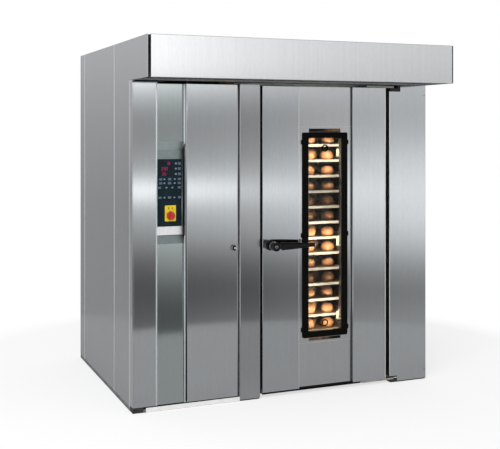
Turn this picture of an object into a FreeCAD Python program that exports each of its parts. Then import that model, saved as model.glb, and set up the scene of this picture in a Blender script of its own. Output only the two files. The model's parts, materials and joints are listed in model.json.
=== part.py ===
import FreeCAD, Part
import math
import os
from FreeCAD import Vector

# Rotating rack oven with a steam hood, millimetres.
# Every function below works in cabinet coordinates: x from the left side, y back from the front
# panels, z up from the floor. save() moves the finished pieces to the row's frame, whose origin is
# the middle of the footprint on the floor.

# Sheet and insulation
SHEET = 3.0
ROOF_INSULATION = 147.0
LEFT_INSULATION = 100.0
REAR_INSULATION = 199.0

# Widths along the front, from left to right
CORNER_POST_W = 13.0
CONTROL_STRIP_W = 151.0
CONTROL_CHANNEL_W = 196.0
SERVICE_DOOR_W = 368.0
SERVICE_DOOR_GAP = 12.0
CENTRE_PILLAR_W = 147.0
DOOR_GAP_LEFT = 17.0
DOOR_W = 959.0
DOOR_GAP_RIGHT = 30.0
RIGHT_PILLAR_W = 307.0

# Heights and depths of the outside
FOOT_H = 25.0
HOOD_H = 263.0
HOOD_REACH = 345.0
HOOD_GROOVE = 18.0
CORNER_POST_D = 64.0
CHANNEL_DEPTH = 25.0
CONTROL_PANEL_H = 437.0
CONTROL_PANEL_Z = 1187.0
SIDE_SEAM_Y = 481.0
REAR_STRIP_W = 155.0

# Main door and its window
DOOR_T = 95.0
DOOR_STRIP_LEFT_SHARE = 0.5074
DOOR_LAP = 30.0
WINDOW_W = 348.0
WINDOW_H = 1409.0
WINDOW_Z = 383.0
WINDOW_MARGIN = 36.5
HANDLE_Z = 1034.0
HANDLE_REACH = 307.0

# Rack that turns in the chamber
RACK_W = 690.0
RACK_D = 960.0
TRAY_COUNT = 15
TRAY_PITCH = 112.5
FIRST_TRAY_Z = 245.5
WHEEL_R = 62.5
RACK_SIDE_CLEARANCE = 49.0
RACK_END_CLEARANCE = 29.0
RACK_HEADROOM = 80.0
HOOK_SPACE = 150.0
LINTEL_H = 87.0

# Flue and supply connections
FLUE_R = 75.0
FLUE_COLLAR_H = 67.0

# Running fit of every pin and shaft, and the gap between pieces that pass each other
FIT = 0.05
GAP = 0.5

# Layout worked out from the sizes above
X_STRIP = CORNER_POST_W
X_CHANNEL = X_STRIP + CONTROL_STRIP_W
X_SERVICE = X_CHANNEL + CONTROL_CHANNEL_W
X_SERVICE_END = X_SERVICE + SERVICE_DOOR_W
X_PILLAR = X_SERVICE_END + SERVICE_DOOR_GAP
X_PILLAR_END = X_PILLAR + CENTRE_PILLAR_W
X_DOOR = X_PILLAR_END + DOOR_GAP_LEFT
X_DOOR_END = X_DOOR + DOOR_W
X_RIGHT = X_DOOR_END + DOOR_GAP_RIGHT
CABINET_W = X_RIGHT + RIGHT_PILLAR_W

DOOR_SEAL_T = 15.0
FRAME_Y = DOOR_T + DOOR_SEAL_T
FRAME_T = 20.0
CHAMBER_Y = FRAME_Y + FRAME_T
RACK_SWEEP_R = math.hypot(RACK_W, RACK_D) / 2
CHAMBER_HALF_W = RACK_SWEEP_R + RACK_SIDE_CLEARANCE
CHAMBER_HALF_D = RACK_SWEEP_R + RACK_END_CLEARANCE
AXIS_X = X_DOOR + DOOR_W / 2
AXIS_Y = CHAMBER_Y + CHAMBER_HALF_D
CHAMBER_X = AXIS_X - CHAMBER_HALF_W
CHAMBER_X_END = AXIS_X + CHAMBER_HALF_W
CHAMBER_Y_END = AXIS_Y + CHAMBER_HALF_D
CABINET_D = CHAMBER_Y_END + SHEET + REAR_INSULATION + SHEET

PAN_TOP = 18.0
LAST_TRAY_Z = FIRST_TRAY_Z + (TRAY_COUNT - 1) * TRAY_PITCH
RACK_TOP_Z = LAST_TRAY_Z + RACK_HEADROOM
CEILING_Z = RACK_TOP_Z + HOOK_SPACE
HOOD_Z = CEILING_Z + LINTEL_H
CABINET_H = HOOD_Z + HOOD_H
ROOF_Z = CABINET_H - FLUE_COLLAR_H - SHEET
ROOF_INSULATION_TOP = CEILING_Z + SHEET + ROOF_INSULATION

PANEL_Z = FOOT_H + 2.0
STRIP_TOP = HOOD_Z - 10.0
PILLAR_TOP = HOOD_Z - 13.0
SERVICE_TOP = HOOD_Z - 21.0
DOOR_Z = FOOT_H - 2.0
DOOR_TOP = HOOD_Z - 22.0

RIGHT_WAY = Vector(1, 0, 0)
BACK_WAY = Vector(0, 1, 0)
UP_WAY = Vector(0, 0, 1)


def block(x0, x1, y0, y1, z0, z1):
    return Part.makeBox(x1 - x0, y1 - y0, z1 - z0, Vector(x0, y0, z0))


def rod(radius, x, y, z, way, length):
    return Part.makeCylinder(radius, length, Vector(x, y, z), way)


def tube(outer_r, inner_r, x, y, z, way, length):
    return rod(outer_r, x, y, z, way, length).cut(rod(inner_r, x, y, z, way, length))


def join(*solids):
    return solids[0].multiFuse(list(solids[1:])).removeSplitter()


def flat_face(corners):
    points = [Vector(*corner) for corner in corners]
    return Part.Face(Part.makePolygon(points + points[:1]))


def is_along(edge, way):
    span = edge.Vertexes[-1].Point - edge.Vertexes[0].Point
    return span.Length > 0 and abs(span.normalize().dot(way)) > 0.999


def rounded(solid, radius, way):
    return solid.makeFillet(radius, [edge for edge in solid.Edges if is_along(edge, way)])


def save(node, *solids):
    piece = Part.makeCompound(list(solids))
    piece.translate(Vector(-CABINET_W / 2, (HOOD_REACH - CABINET_D) / 2, 0))
    piece.exportStep("parts/" + node + ".step")


# Base: floor rails under the cladding, the chamber's floor pan, and black feet

RAIL_W = 40.0
BASE_INSET = 2.0
CORNER_FOOT_W = 73.0
SILL_TOP = FOOT_H - 5.0
BAY_X_END = CHAMBER_X - SHEET - LEFT_INSULATION


def base_frame():
    y0 = CORNER_POST_D + BASE_INSET
    y_end = CABINET_D - BASE_INSET
    rail_in = BASE_INSET + RAIL_W
    left = block(BASE_INSET, rail_in, y0, y_end, 0, FOOT_H)
    right = block(CABINET_W - rail_in, CABINET_W - BASE_INSET, CHAMBER_Y, y_end, 0, FOOT_H)
    rear = block(rail_in, CABINET_W - rail_in, y_end - RAIL_W, y_end, 0, FOOT_H)
    middle = block(BAY_X_END, BAY_X_END + RAIL_W, CHAMBER_Y, y_end - RAIL_W, 0, FOOT_H)
    sill = block(CORNER_FOOT_W, X_PILLAR, SHEET, CORNER_POST_D, 0, SILL_TOP)
    bay_floor = block(rail_in, BAY_X_END, y0, y_end - RAIL_W, FOOT_H - SHEET, FOOT_H)
    save("base_frame", left, right, rear, middle, sill, bay_floor)


def floor_pan():
    edge = BASE_INSET + RAIL_W
    save("floor_pan", block(BAY_X_END + RAIL_W, CABINET_W - edge, FRAME_Y, CABINET_D - edge, 0, PAN_TOP))


PILLAR_FOOT_H = 8.0


def feet():
    set_back = 1.0
    pad_inset = 2 * SHEET
    pad_d = 74.0
    corner = block(SHEET, CORNER_FOOT_W, SHEET + set_back, CORNER_POST_D, 0, PANEL_Z)
    centre = block(X_PILLAR, X_PILLAR_END - pad_inset, set_back, pad_d, 0, PILLAR_FOOT_H)
    right = block(X_RIGHT + NOTCH_FOOT_W, CABINET_W - pad_inset, set_back, pad_d, 0, PILLAR_FOOT_H)
    save("levelling_feet", corner, centre, right)


# Outer cladding: sides with their seams, rear sheets, sunk roof

SEAM = 2.0


def side_sheets(x):
    rear_strip_y = CABINET_D - REAR_STRIP_W
    front_y = CORNER_POST_D if x == 0 else CHAMBER_Y
    front = block(x, x + SHEET, front_y, SIDE_SEAM_Y - SEAM, FOOT_H, CABINET_H)
    main = block(x, x + SHEET, SIDE_SEAM_Y, rear_strip_y - SEAM, FOOT_H, CABINET_H)
    rear = block(x, x + SHEET, rear_strip_y, CABINET_D, FOOT_H, CABINET_H)
    return front, main, rear


def cladding():
    save("left_side_panels", *side_sheets(0))
    save("right_side_panels", *side_sheets(CABINET_W - SHEET))
    middle = CABINET_W / 2
    y0 = CABINET_D - SHEET
    left = block(SHEET, middle - SEAM / 2, y0, CABINET_D, FOOT_H, CABINET_H)
    right = block(middle + SEAM / 2, CABINET_W - SHEET, y0, CABINET_D, FOOT_H, CABINET_H)
    save("rear_panels", left, right)
    roof = block(SHEET, CABINET_W - SHEET, CHAMBER_Y, y0, ROOF_Z, ROOF_Z + SHEET)
    roof = roof.cut(rod(FLUE_R + SHEET, FLUE_X, FLUE_Y, ROOF_Z, UP_WAY, SHEET))
    save("roof_panel", roof)


# Front posts: corner post, header over the panels, centre and right pillars

def front_posts():
    post = block(0, CORNER_POST_W, 0, CORNER_POST_D, PANEL_Z, HOOD_Z)
    groove_w = 2.0
    groove_x = CORNER_POST_W * 0.55
    post = post.cut(block(groove_x, groove_x + groove_w, 0, groove_w, PANEL_Z, HOOD_Z))
    save("front_corner_post", post)
    header = block(SHEET, CABINET_W - SHEET, 0, CHAMBER_Y, HOOD_Z, CABINET_H)
    hollow = block(2 * SHEET, CABINET_W - 2 * SHEET, SHEET, CHAMBER_Y, HOOD_Z + SHEET, CABINET_H - SHEET)
    save("front_header", header.cut(hollow))


def hollow_pillar(x0, x1, z1):
    outside = block(x0, x1, 0, FRAME_Y, PILLAR_FOOT_H, z1)
    inside = block(x0 + SHEET, x1 - SHEET, SHEET, FRAME_Y, PILLAR_FOOT_H, z1)
    return outside.cut(inside)


NOTCH_TOP_W = 92.0
NOTCH_TOP_H = 48.0
NOTCH_FOOT_W = 64.0
NOTCH_FOOT_H = 47.0


def pillars():
    save("centre_pillar", hollow_pillar(X_PILLAR, X_PILLAR_END, PILLAR_TOP))
    pillar = hollow_pillar(X_RIGHT, CABINET_W, HOOD_Z)
    top_notch = block(X_RIGHT, X_RIGHT + NOTCH_TOP_W, 0, FRAME_Y, HOOD_Z - NOTCH_TOP_H, HOOD_Z)
    foot_notch = block(X_RIGHT, X_RIGHT + NOTCH_FOOT_W, 0, FRAME_Y, 0, NOTCH_FOOT_H)
    pillar = pillar.cut(top_notch).cut(foot_notch)
    hole_r = 4.0
    hole_from_notch = 26.0
    hole_x = CABINET_W - 14.0
    for hole_z in (NOTCH_FOOT_H + hole_from_notch, HOOD_Z - NOTCH_TOP_H - hole_from_notch):
        pillar = pillar.cut(rod(hole_r, hole_x, 0, hole_z, BACK_WAY, SHEET))
    save("right_pillar", pillar)


# Control column: flat strip, channel with a ramped pocket, control board, keys and main switch

POCKET_DEPTH = CHANNEL_DEPTH * 2
POCKET_Z = CONTROL_PANEL_Z - 59.0
POCKET_TOP = CONTROL_PANEL_Z + CONTROL_PANEL_H + 78.0
CHANNEL_X_END = X_SERVICE - 6.0


def control_column():
    face = block(X_STRIP, X_CHANNEL, 0, SHEET, PANEL_Z, STRIP_TOP)
    fold = block(X_CHANNEL - SHEET, X_CHANNEL, 0, POCKET_DEPTH + SHEET, PANEL_Z, STRIP_TOP)
    save("control_strip", join(face, fold))
    ramp_down = 40.0
    ramp_up = 55.0
    front = [(CHANNEL_DEPTH, PANEL_Z), (CHANNEL_DEPTH, POCKET_Z - ramp_up),
             (POCKET_DEPTH, POCKET_Z), (POCKET_DEPTH, POCKET_TOP),
             (CHANNEL_DEPTH, POCKET_TOP + ramp_down), (CHANNEL_DEPTH, SERVICE_TOP)]
    back = [(y + SHEET, z) for y, z in reversed(front)]
    outline = flat_face([(X_CHANNEL, y, z) for y, z in front + back])
    floor = outline.extrude(RIGHT_WAY * (CHANNEL_X_END - X_CHANNEL))
    jamb = block(CHANNEL_X_END - SHEET, CHANNEL_X_END, SHEET, CORNER_POST_D, PANEL_Z, SERVICE_TOP)
    save("control_channel", join(floor, jamb))


BOARD_T = 6.0
BOARD_INSET = 6.0
LOWER_BOARD_H = 175.0
SWITCH_FROM_EDGE = 102.0
SWITCH_RISE = 69.0
SPLIT_Z = CONTROL_PANEL_Z + LOWER_BOARD_H
SWITCH_X = X_CHANNEL + SWITCH_FROM_EDGE
SWITCH_Z = CONTROL_PANEL_Z + SWITCH_RISE
SWITCH_PLATE_W = 76.0
SWITCH_PLATE_H = 104.0
SWITCH_PLATE_T = 4.0
SWITCH_SHAFT_R = 9.0
BOARD_Y = POCKET_DEPTH - BOARD_T


def control_board():
    x0 = X_CHANNEL + BOARD_INSET
    x1 = CHANNEL_X_END - SHEET - BOARD_INSET
    split_gap = 3.0
    lower = block(x0, x1, BOARD_Y, POCKET_DEPTH, CONTROL_PANEL_Z, SPLIT_Z)
    lower = lower.cut(rod(SWITCH_SHAFT_R + SHEET, SWITCH_X, BOARD_Y, SWITCH_Z, BACK_WAY, BOARD_T))
    upper_z1 = CONTROL_PANEL_Z + CONTROL_PANEL_H
    upper = block(x0, x1, BOARD_Y, POCKET_DEPTH, SPLIT_Z + split_gap, upper_z1)
    save("control_board", lower, upper)
    key_y = BOARD_Y - 1.5
    window_x = x0 + 16.0
    window_w = 80.0
    window_h = 20.0
    side_key_x = window_x + window_w + 22.0
    side_key_w = 34.0
    side_key_h = 14.0
    pieces = []
    for drop in (28.0, 62.0, 96.0):
        z = upper_z1 - drop
        pieces.append(block(window_x, window_x + window_w, key_y, BOARD_Y,
                            z - window_h / 2, z + window_h / 2))
        pieces.append(block(side_key_x, side_key_x + side_key_w, key_y, BOARD_Y,
                            z - side_key_h / 2, z + side_key_h / 2))
    key_w = 26.0
    key_h = 14.0
    key_pitch = 46.0
    first_key_x = x0 + 28.0
    for drop in (130.0, 156.0, 185.0, 250.0):
        z = upper_z1 - drop
        for column in range(3):
            key_x = first_key_x + column * key_pitch
            pieces.append(block(key_x, key_x + key_w, key_y, BOARD_Y, z - key_h / 2, z + key_h / 2))
    save("display_and_keys", *pieces)
    plate_below = 37.5
    plate_z0 = SWITCH_Z - plate_below
    plate = block(SWITCH_X - SWITCH_PLATE_W / 2, SWITCH_X + SWITCH_PLATE_W / 2,
                  BOARD_Y - SWITCH_PLATE_T, BOARD_Y, plate_z0, plate_z0 + SWITCH_PLATE_H)
    corner_r = 5.0
    plate = rounded(plate, corner_r, BACK_WAY)
    bore = rod(SWITCH_SHAFT_R + FIT, SWITCH_X, BOARD_Y - SWITCH_PLATE_T, SWITCH_Z, BACK_WAY, SWITCH_PLATE_T)
    save("main_switch_plate", plate.cut(bore))


def main_switch_knob():
    knob_r = 27.5
    disc_t = 14.0
    edge = 3.0
    grip_half_w = 8.0
    grip_half_h = knob_r - edge
    grip_out = 30.0
    sunk = disc_t / 2
    plate_y = BOARD_Y - SWITCH_PLATE_T
    disc_y = plate_y - GAP - disc_t
    disc = rod(knob_r, SWITCH_X, disc_y, SWITCH_Z, BACK_WAY, disc_t)
    disc = disc.makeChamfer(edge, [disc.Edges[0], disc.Edges[2]])
    grip = block(SWITCH_X - grip_half_w, SWITCH_X + grip_half_w, plate_y - grip_out, disc_y + sunk,
                 SWITCH_Z - grip_half_h, SWITCH_Z + grip_half_h)
    shaft_l = POCKET_DEPTH - SHEET - disc_y - sunk
    shaft = rod(SWITCH_SHAFT_R, SWITCH_X, disc_y + sunk, SWITCH_Z, BACK_WAY, shaft_l)
    save("main_switch_knob", join(disc, grip, shaft))


# Service door on two pins, with a quarter-turn lock

SERVICE_PIVOT_X = X_SERVICE + 10.0
SERVICE_PIVOT_Y = 10.0
SERVICE_DOOR_T = 22.0
SERVICE_PIN_R = 5.0
LOCK_X = X_SERVICE_END - 33.0
LOCK_Z = HANDLE_Z - 4.0
LOCK_SHAFT_R = 8.0
LOCK_CAM_Y = SERVICE_DOOR_T + 8.0
KEEPER_T = 5.0


def service_door():
    outside = block(X_SERVICE, X_SERVICE_END, 0, SERVICE_DOOR_T, PANEL_Z, SERVICE_TOP)
    inside = block(X_SERVICE + SHEET, X_SERVICE_END - SHEET, SHEET, SERVICE_DOOR_T,
                   PANEL_Z + SHEET, SERVICE_TOP - SHEET)
    door = outside.cut(inside)
    pivot = rod(SERVICE_PIN_R + FIT, SERVICE_PIVOT_X, SERVICE_PIVOT_Y, 0, UP_WAY, HOOD_Z)
    shaft = rod(LOCK_SHAFT_R + FIT, LOCK_X, 0, LOCK_Z, BACK_WAY, SHEET)
    save("service_door", door.cut(pivot).cut(shaft))


def service_lock():
    rose_r = 20.0
    rose_t = 10.0
    wing_half_w = 6.0
    wing_half_h = 17.0
    wing_out = 24.0
    wing_edge = 5.0
    cam_t = 6.0
    cam_l = 40.0
    rose = rod(rose_r, LOCK_X, -rose_t, LOCK_Z, BACK_WAY, rose_t - GAP)
    wing = block(LOCK_X - wing_half_w, LOCK_X + wing_half_w, -wing_out, GAP - rose_t,
                 LOCK_Z - wing_half_h, LOCK_Z + wing_half_h)
    wing = rounded(wing, wing_edge, UP_WAY)
    shaft = rod(LOCK_SHAFT_R, LOCK_X, -rose_t, LOCK_Z, BACK_WAY, rose_t + LOCK_CAM_Y + cam_t)
    cam = block(LOCK_X - LOCK_SHAFT_R, LOCK_X + LOCK_SHAFT_R, LOCK_CAM_Y, LOCK_CAM_Y + cam_t,
                LOCK_Z - cam_l, LOCK_Z + LOCK_SHAFT_R)
    save("service_lock", join(rose, wing, shaft, cam))


# Door frame behind the main door, and the keepers that the two latches turn behind

DOOR_KEEPER_T = 4.0
LATCH_Y = CHAMBER_Y + DOOR_KEEPER_T + GAP


def door_frame():
    left = block(X_PILLAR, X_DOOR + DOOR_LAP, FRAME_Y, CHAMBER_Y, PAN_TOP, HOOD_Z)
    right = block(X_DOOR_END - DOOR_LAP, CABINET_W, FRAME_Y, CHAMBER_Y, PAN_TOP, HOOD_Z)
    edge = X_DOOR + DOOR_LAP
    lintel_z = CEILING_Z + 10.0
    lintel = block(edge, X_DOOR_END - DOOR_LAP, FRAME_Y, CHAMBER_Y, lintel_z, HOOD_Z)
    save("door_frame", left, right, lintel)
    keeper_w = 35.0
    keeper_from_edge = 9.0
    keeper_half_h = 36.0
    keeper_x = edge - keeper_from_edge - keeper_w
    door_keeper = block(keeper_x, keeper_x + keeper_w, CHAMBER_Y, CHAMBER_Y + DOOR_KEEPER_T,
                        HANDLE_Z - keeper_half_h, HANDLE_Z + keeper_half_h)
    service_x = (LOCK_X + X_SERVICE_END) / 2
    service_y = SERVICE_DOOR_T + 1.0
    service_half_h = 20.0
    service_keeper = block(service_x, X_PILLAR, service_y, service_y + KEEPER_T,
                           LOCK_Z - service_half_h, LOCK_Z + service_half_h)
    save("latch_keepers", door_keeper, service_keeper)


# Hinges: flat arms on the door turn on pins in blocks set in the notches of the right pillar

HINGE_X = X_RIGHT + 32.0
HINGE_Y = 20.0
HINGE_PIN_R = 8.0
ARM_T = 14.0
ARM_R = 17.0


def hinge_arm(x0, z0):
    bar = block(x0, HINGE_X, HINGE_Y - ARM_R, HINGE_Y + ARM_R, z0, z0 + ARM_T)
    eye = rod(ARM_R, HINGE_X, HINGE_Y, z0, UP_WAY, ARM_T)
    return join(bar, eye).cut(rod(HINGE_PIN_R + FIT, HINGE_X, HINGE_Y, z0, UP_WAY, ARM_T))


def hinges():
    top_arm_l = 150.0
    foot_arm_l = 190.0
    save("hinge_arms", hinge_arm(X_DOOR_END - top_arm_l, DOOR_TOP),
         hinge_arm(X_DOOR_END - foot_arm_l, DOOR_Z - ARM_T))
    x0 = HINGE_X - 20.0
    y0 = 4.0
    y1 = 60.0
    slack = 1.0
    upright_w = 18.0
    top_end = X_RIGHT + NOTCH_TOP_W
    shelf = block(x0, top_end, y0, y1, HOOD_Z - NOTCH_TOP_H, DOOR_TOP - slack)
    upright = block(top_end - upright_w, top_end, y0, y1, DOOR_TOP - slack, HOOD_Z)
    pin = rod(HINGE_PIN_R, HINGE_X, HINGE_Y, DOOR_TOP - slack, UP_WAY, ARM_T)
    upper = join(shelf, upright, pin)
    foot_top = DOOR_Z - ARM_T - slack
    foot = block(x0, X_RIGHT + NOTCH_FOOT_W, y0, y1, 0, foot_top)
    lower = join(foot, rod(HINGE_PIN_R, HINGE_X, HINGE_Y, foot_top, UP_WAY, ARM_T))
    pin_in = 8.0
    low_pin = rod(SERVICE_PIN_R, SERVICE_PIVOT_X, SERVICE_PIVOT_Y, SILL_TOP, UP_WAY,
                  PANEL_Z + pin_in - SILL_TOP)
    high_pin = rod(SERVICE_PIN_R, SERVICE_PIVOT_X, SERVICE_PIVOT_Y, SERVICE_TOP - pin_in, UP_WAY,
                   HOOD_Z - SERVICE_TOP + pin_in)
    save("hinge_blocks", upper, lower, low_pin, high_pin)


# Main door: two raised strips, a sunk window channel, insulated core and inner liner

CORE_Y = CHANNEL_DEPTH + SHEET
DOOR_CHANNEL_W = WINDOW_W + 2 * WINDOW_MARGIN
DOOR_CHANNEL_X = X_DOOR + (DOOR_W - DOOR_CHANNEL_W) * DOOR_STRIP_LEFT_SHARE
DOOR_CHANNEL_X_END = DOOR_CHANNEL_X + DOOR_CHANNEL_W
WINDOW_X = DOOR_CHANNEL_X + DOOR_CHANNEL_W / 2
WINDOW_MID_Z = WINDOW_Z + WINDOW_H / 2
PANE_W = WINDOW_W - 48.0
PANE_H = WINDOW_H - 40.0
PANE_T = 6.0
HANDLE_X = X_DOOR + 54.0
SPINDLE_R = 10.0
VENT_W = 245.0
VENT_H = 18.0
VENT_OFFSET = WINDOW_H / 2 + 22.0


def window_block(width, height, y0, y1):
    return block(WINDOW_X - width / 2, WINDOW_X + width / 2, y0, y1,
                 WINDOW_MID_Z - height / 2, WINDOW_MID_Z + height / 2)


def vent_cuts(y0, y1):
    cuts = []
    for side in (-1, 1):
        z = WINDOW_MID_Z + side * VENT_OFFSET
        cuts.append(block(WINDOW_X - VENT_W / 2, WINDOW_X + VENT_W / 2, y0, y1,
                          z - VENT_H / 2, z + VENT_H / 2))
    return cuts


def door_strip(x0, x1):
    outside = block(x0, x1, 0, CORE_Y, DOOR_Z, DOOR_TOP)
    return outside.cut(block(x0 + SHEET, x1 - SHEET, SHEET, CORE_Y, DOOR_Z + SHEET, DOOR_TOP - SHEET))


def main_door():
    spindle_hole = rod(SPINDLE_R + FIT, HANDLE_X, 0, HANDLE_Z, BACK_WAY, DOOR_T)
    save("door_left_strip", door_strip(X_DOOR, DOOR_CHANNEL_X).cut(spindle_hole))
    save("door_right_strip", door_strip(DOOR_CHANNEL_X_END, X_DOOR_END))
    panel = block(DOOR_CHANNEL_X, DOOR_CHANNEL_X_END, CHANNEL_DEPTH, CORE_Y, DOOR_Z, DOOR_TOP)
    panel = panel.cut(window_block(PANE_W, PANE_H, CHANNEL_DEPTH, CORE_Y))
    save("door_channel", panel.cut(Part.makeCompound(vent_cuts(CHANNEL_DEPTH, CORE_Y))))
    liner_y = DOOR_T - SHEET
    core = block(X_DOOR + SHEET, X_DOOR_END - SHEET, CORE_Y, liner_y, DOOR_Z + SHEET, DOOR_TOP - SHEET)
    core = core.cut(window_block(PANE_W, PANE_H, CORE_Y, liner_y))
    core = core.cut(rod(SPINDLE_R + SHEET, HANDLE_X, CORE_Y, HANDLE_Z, BACK_WAY, DOOR_T))
    vent_depth = 12.0
    save("door_core", core.cut(Part.makeCompound(vent_cuts(CORE_Y, CORE_Y + vent_depth))))
    liner = block(X_DOOR, X_DOOR_END, CORE_Y, DOOR_T, DOOR_Z, DOOR_TOP)
    liner = liner.cut(block(X_DOOR + SHEET, X_DOOR_END - SHEET, CORE_Y, liner_y,
                            DOOR_Z + SHEET, DOOR_TOP - SHEET))
    reveal = window_block(PANE_W, PANE_H, CHANNEL_DEPTH + PANE_T, DOOR_T)
    sight = window_block(PANE_W - 2 * SHEET, PANE_H - 2 * SHEET, CHANNEL_DEPTH + PANE_T, DOOR_T)
    save("door_liner", join(liner, reveal).cut(sight).cut(spindle_hole))


def door_window():
    outer = window_block(PANE_W, PANE_H, CHANNEL_DEPTH, CHANNEL_DEPTH + PANE_T)
    inner = window_block(PANE_W - 2 * SHEET, PANE_H - 2 * SHEET, DOOR_T - SHEET - PANE_T, DOOR_T - SHEET)
    save("window_panes", outer, inner)
    gasket_y = CHANNEL_DEPTH - 12.0
    side_bar = 43.0
    end_bar = 33.0
    outer_r = 10.0
    inner_r = 6.0
    frame = rounded(window_block(WINDOW_W, WINDOW_H, gasket_y, CHANNEL_DEPTH), outer_r, BACK_WAY)
    hole = window_block(WINDOW_W - 2 * side_bar, WINDOW_H - 2 * end_bar, gasket_y, CHANNEL_DEPTH)
    frame = frame.cut(rounded(hole, inner_r, BACK_WAY))
    tab_w = 8.0
    tab_h = 30.0
    tabs = []
    for share in (0.034, 0.498, 0.956):
        z = WINDOW_Z + share * WINDOW_H
        for edge_x in (WINDOW_X - WINDOW_W / 2 - tab_w, WINDOW_X + WINDOW_W / 2):
            tabs.append(block(edge_x, edge_x + tab_w, gasket_y, CHANNEL_DEPTH, z - tab_h / 2, z + tab_h / 2))
    save("window_gasket", frame, *tabs)
    ring_t = 6.0
    ring_r = 25.0
    ring_hole_r = 16.0
    rings = []
    for z in (WINDOW_Z + 86.0, WINDOW_Z + WINDOW_H - 104.0):
        rings.append(tube(ring_r, ring_hole_r, WINDOW_X, CHANNEL_DEPTH - ring_t, z, BACK_WAY, ring_t))
    save("window_rings", *rings)


def door_lamps():
    wall_x = WINDOW_X + PANE_W / 2 - SHEET
    lamp_y = (CHANNEL_DEPTH + DOOR_T) / 2
    holder_l = 38.0
    holder_half_w = 9.0
    holder_t = 9.0
    bulb_x = wall_x - 29.0
    bulb_l = 42.0
    bulb_r = 7.0
    holders = []
    bulbs = []
    for share in (0.088, 0.455, 0.902):
        z = WINDOW_Z + share * WINDOW_H - bulb_l / 2
        holders.append(block(wall_x - holder_l, wall_x, lamp_y - holder_half_w, lamp_y + holder_half_w,
                             z - holder_t, z))
        body = rod(bulb_r, bulb_x, lamp_y, z, UP_WAY, bulb_l)
        bulbs.append(join(body, Part.makeSphere(bulb_r, Vector(bulb_x, lamp_y, z + bulb_l))))
    save("lamp_holders", *holders)
    save("lamp_bulbs", *bulbs)


def door_seal():
    inset = 6.0
    bar = 20.0
    y1 = FRAME_Y - GAP
    left = block(X_DOOR + inset, X_DOOR + inset + bar, DOOR_T, y1, DOOR_Z + inset, DOOR_TOP - inset)
    right = block(X_DOOR_END - inset - bar, X_DOOR_END - inset, DOOR_T, y1, DOOR_Z + inset, DOOR_TOP - inset)
    top = block(X_DOOR + inset + bar, X_DOOR_END - inset - bar, DOOR_T, y1,
                DOOR_TOP - inset - bar, DOOR_TOP - inset)
    sweep_y = 6.0
    sweep_t = 8.0
    sweep_z = 4.0
    sweep_end = X_DOOR_END - 200.0
    sweep = block(X_DOOR, sweep_end, sweep_y, sweep_y + sweep_t, sweep_z, DOOR_Z)
    save("door_seal", left, right, top, sweep)


# Lever handle: black hub and spindle with the latch tongue, black tapered grip

HANDLE_OUT = 114.0


def handle():
    rose_r = 35.0
    rose_t = 16.0
    neck_r = 22.0
    head_r = 30.0
    head_l = 42.0
    ferrule_r = 18.0
    ferrule_l = 44.0
    tongue_t = 10.0
    tongue_l = 62.0
    grip_y = head_l / 2 - HANDLE_OUT
    rose = rod(rose_r, HANDLE_X, -rose_t, HANDLE_Z, BACK_WAY, rose_t - GAP)
    neck = rod(neck_r, HANDLE_X, grip_y, HANDLE_Z, BACK_WAY, -GAP - grip_y)
    head = rod(head_r, HANDLE_X, -HANDLE_OUT, HANDLE_Z, BACK_WAY, head_l)
    ferrule = rod(ferrule_r, HANDLE_X, grip_y, HANDLE_Z, RIGHT_WAY, ferrule_l)
    spindle = rod(SPINDLE_R, HANDLE_X, -rose_t, HANDLE_Z, BACK_WAY, rose_t + LATCH_Y + tongue_t / 2)
    tongue = block(HANDLE_X - SPINDLE_R, HANDLE_X + SPINDLE_R, LATCH_Y, LATCH_Y + tongue_t,
                   HANDLE_Z - tongue_l, HANDLE_Z + SPINDLE_R)
    save("handle_hub", join(rose, neck, head, ferrule, spindle, tongue))
    root_r = 27.0
    tip_r = 13.0
    root_x = HANDLE_X + ferrule_l
    tip_x = HANDLE_X + HANDLE_REACH - tip_r
    axis_start = Vector(root_x, grip_y, HANDLE_Z)
    axis_end = Vector(tip_x + tip_r, grip_y, HANDLE_Z)
    root_edge = Vector(root_x, grip_y, HANDLE_Z + root_r)
    tip_edge = Vector(tip_x, grip_y, HANDLE_Z + tip_r)
    shoulder = tip_r * math.sqrt(0.5)
    tip_arc = Part.Arc(tip_edge, Vector(tip_x + shoulder, grip_y, HANDLE_Z + shoulder), axis_end)
    outline = [Part.makeLine(axis_start, root_edge), Part.makeLine(root_edge, tip_edge),
               tip_arc.toShape(), Part.makeLine(axis_end, axis_start)]
    save("handle_grip", Part.Face(Part.Wire(outline)).revolve(axis_start, RIGHT_WAY, 360))


# Hood: fascia, cheeks, top and slotted underside

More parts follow.
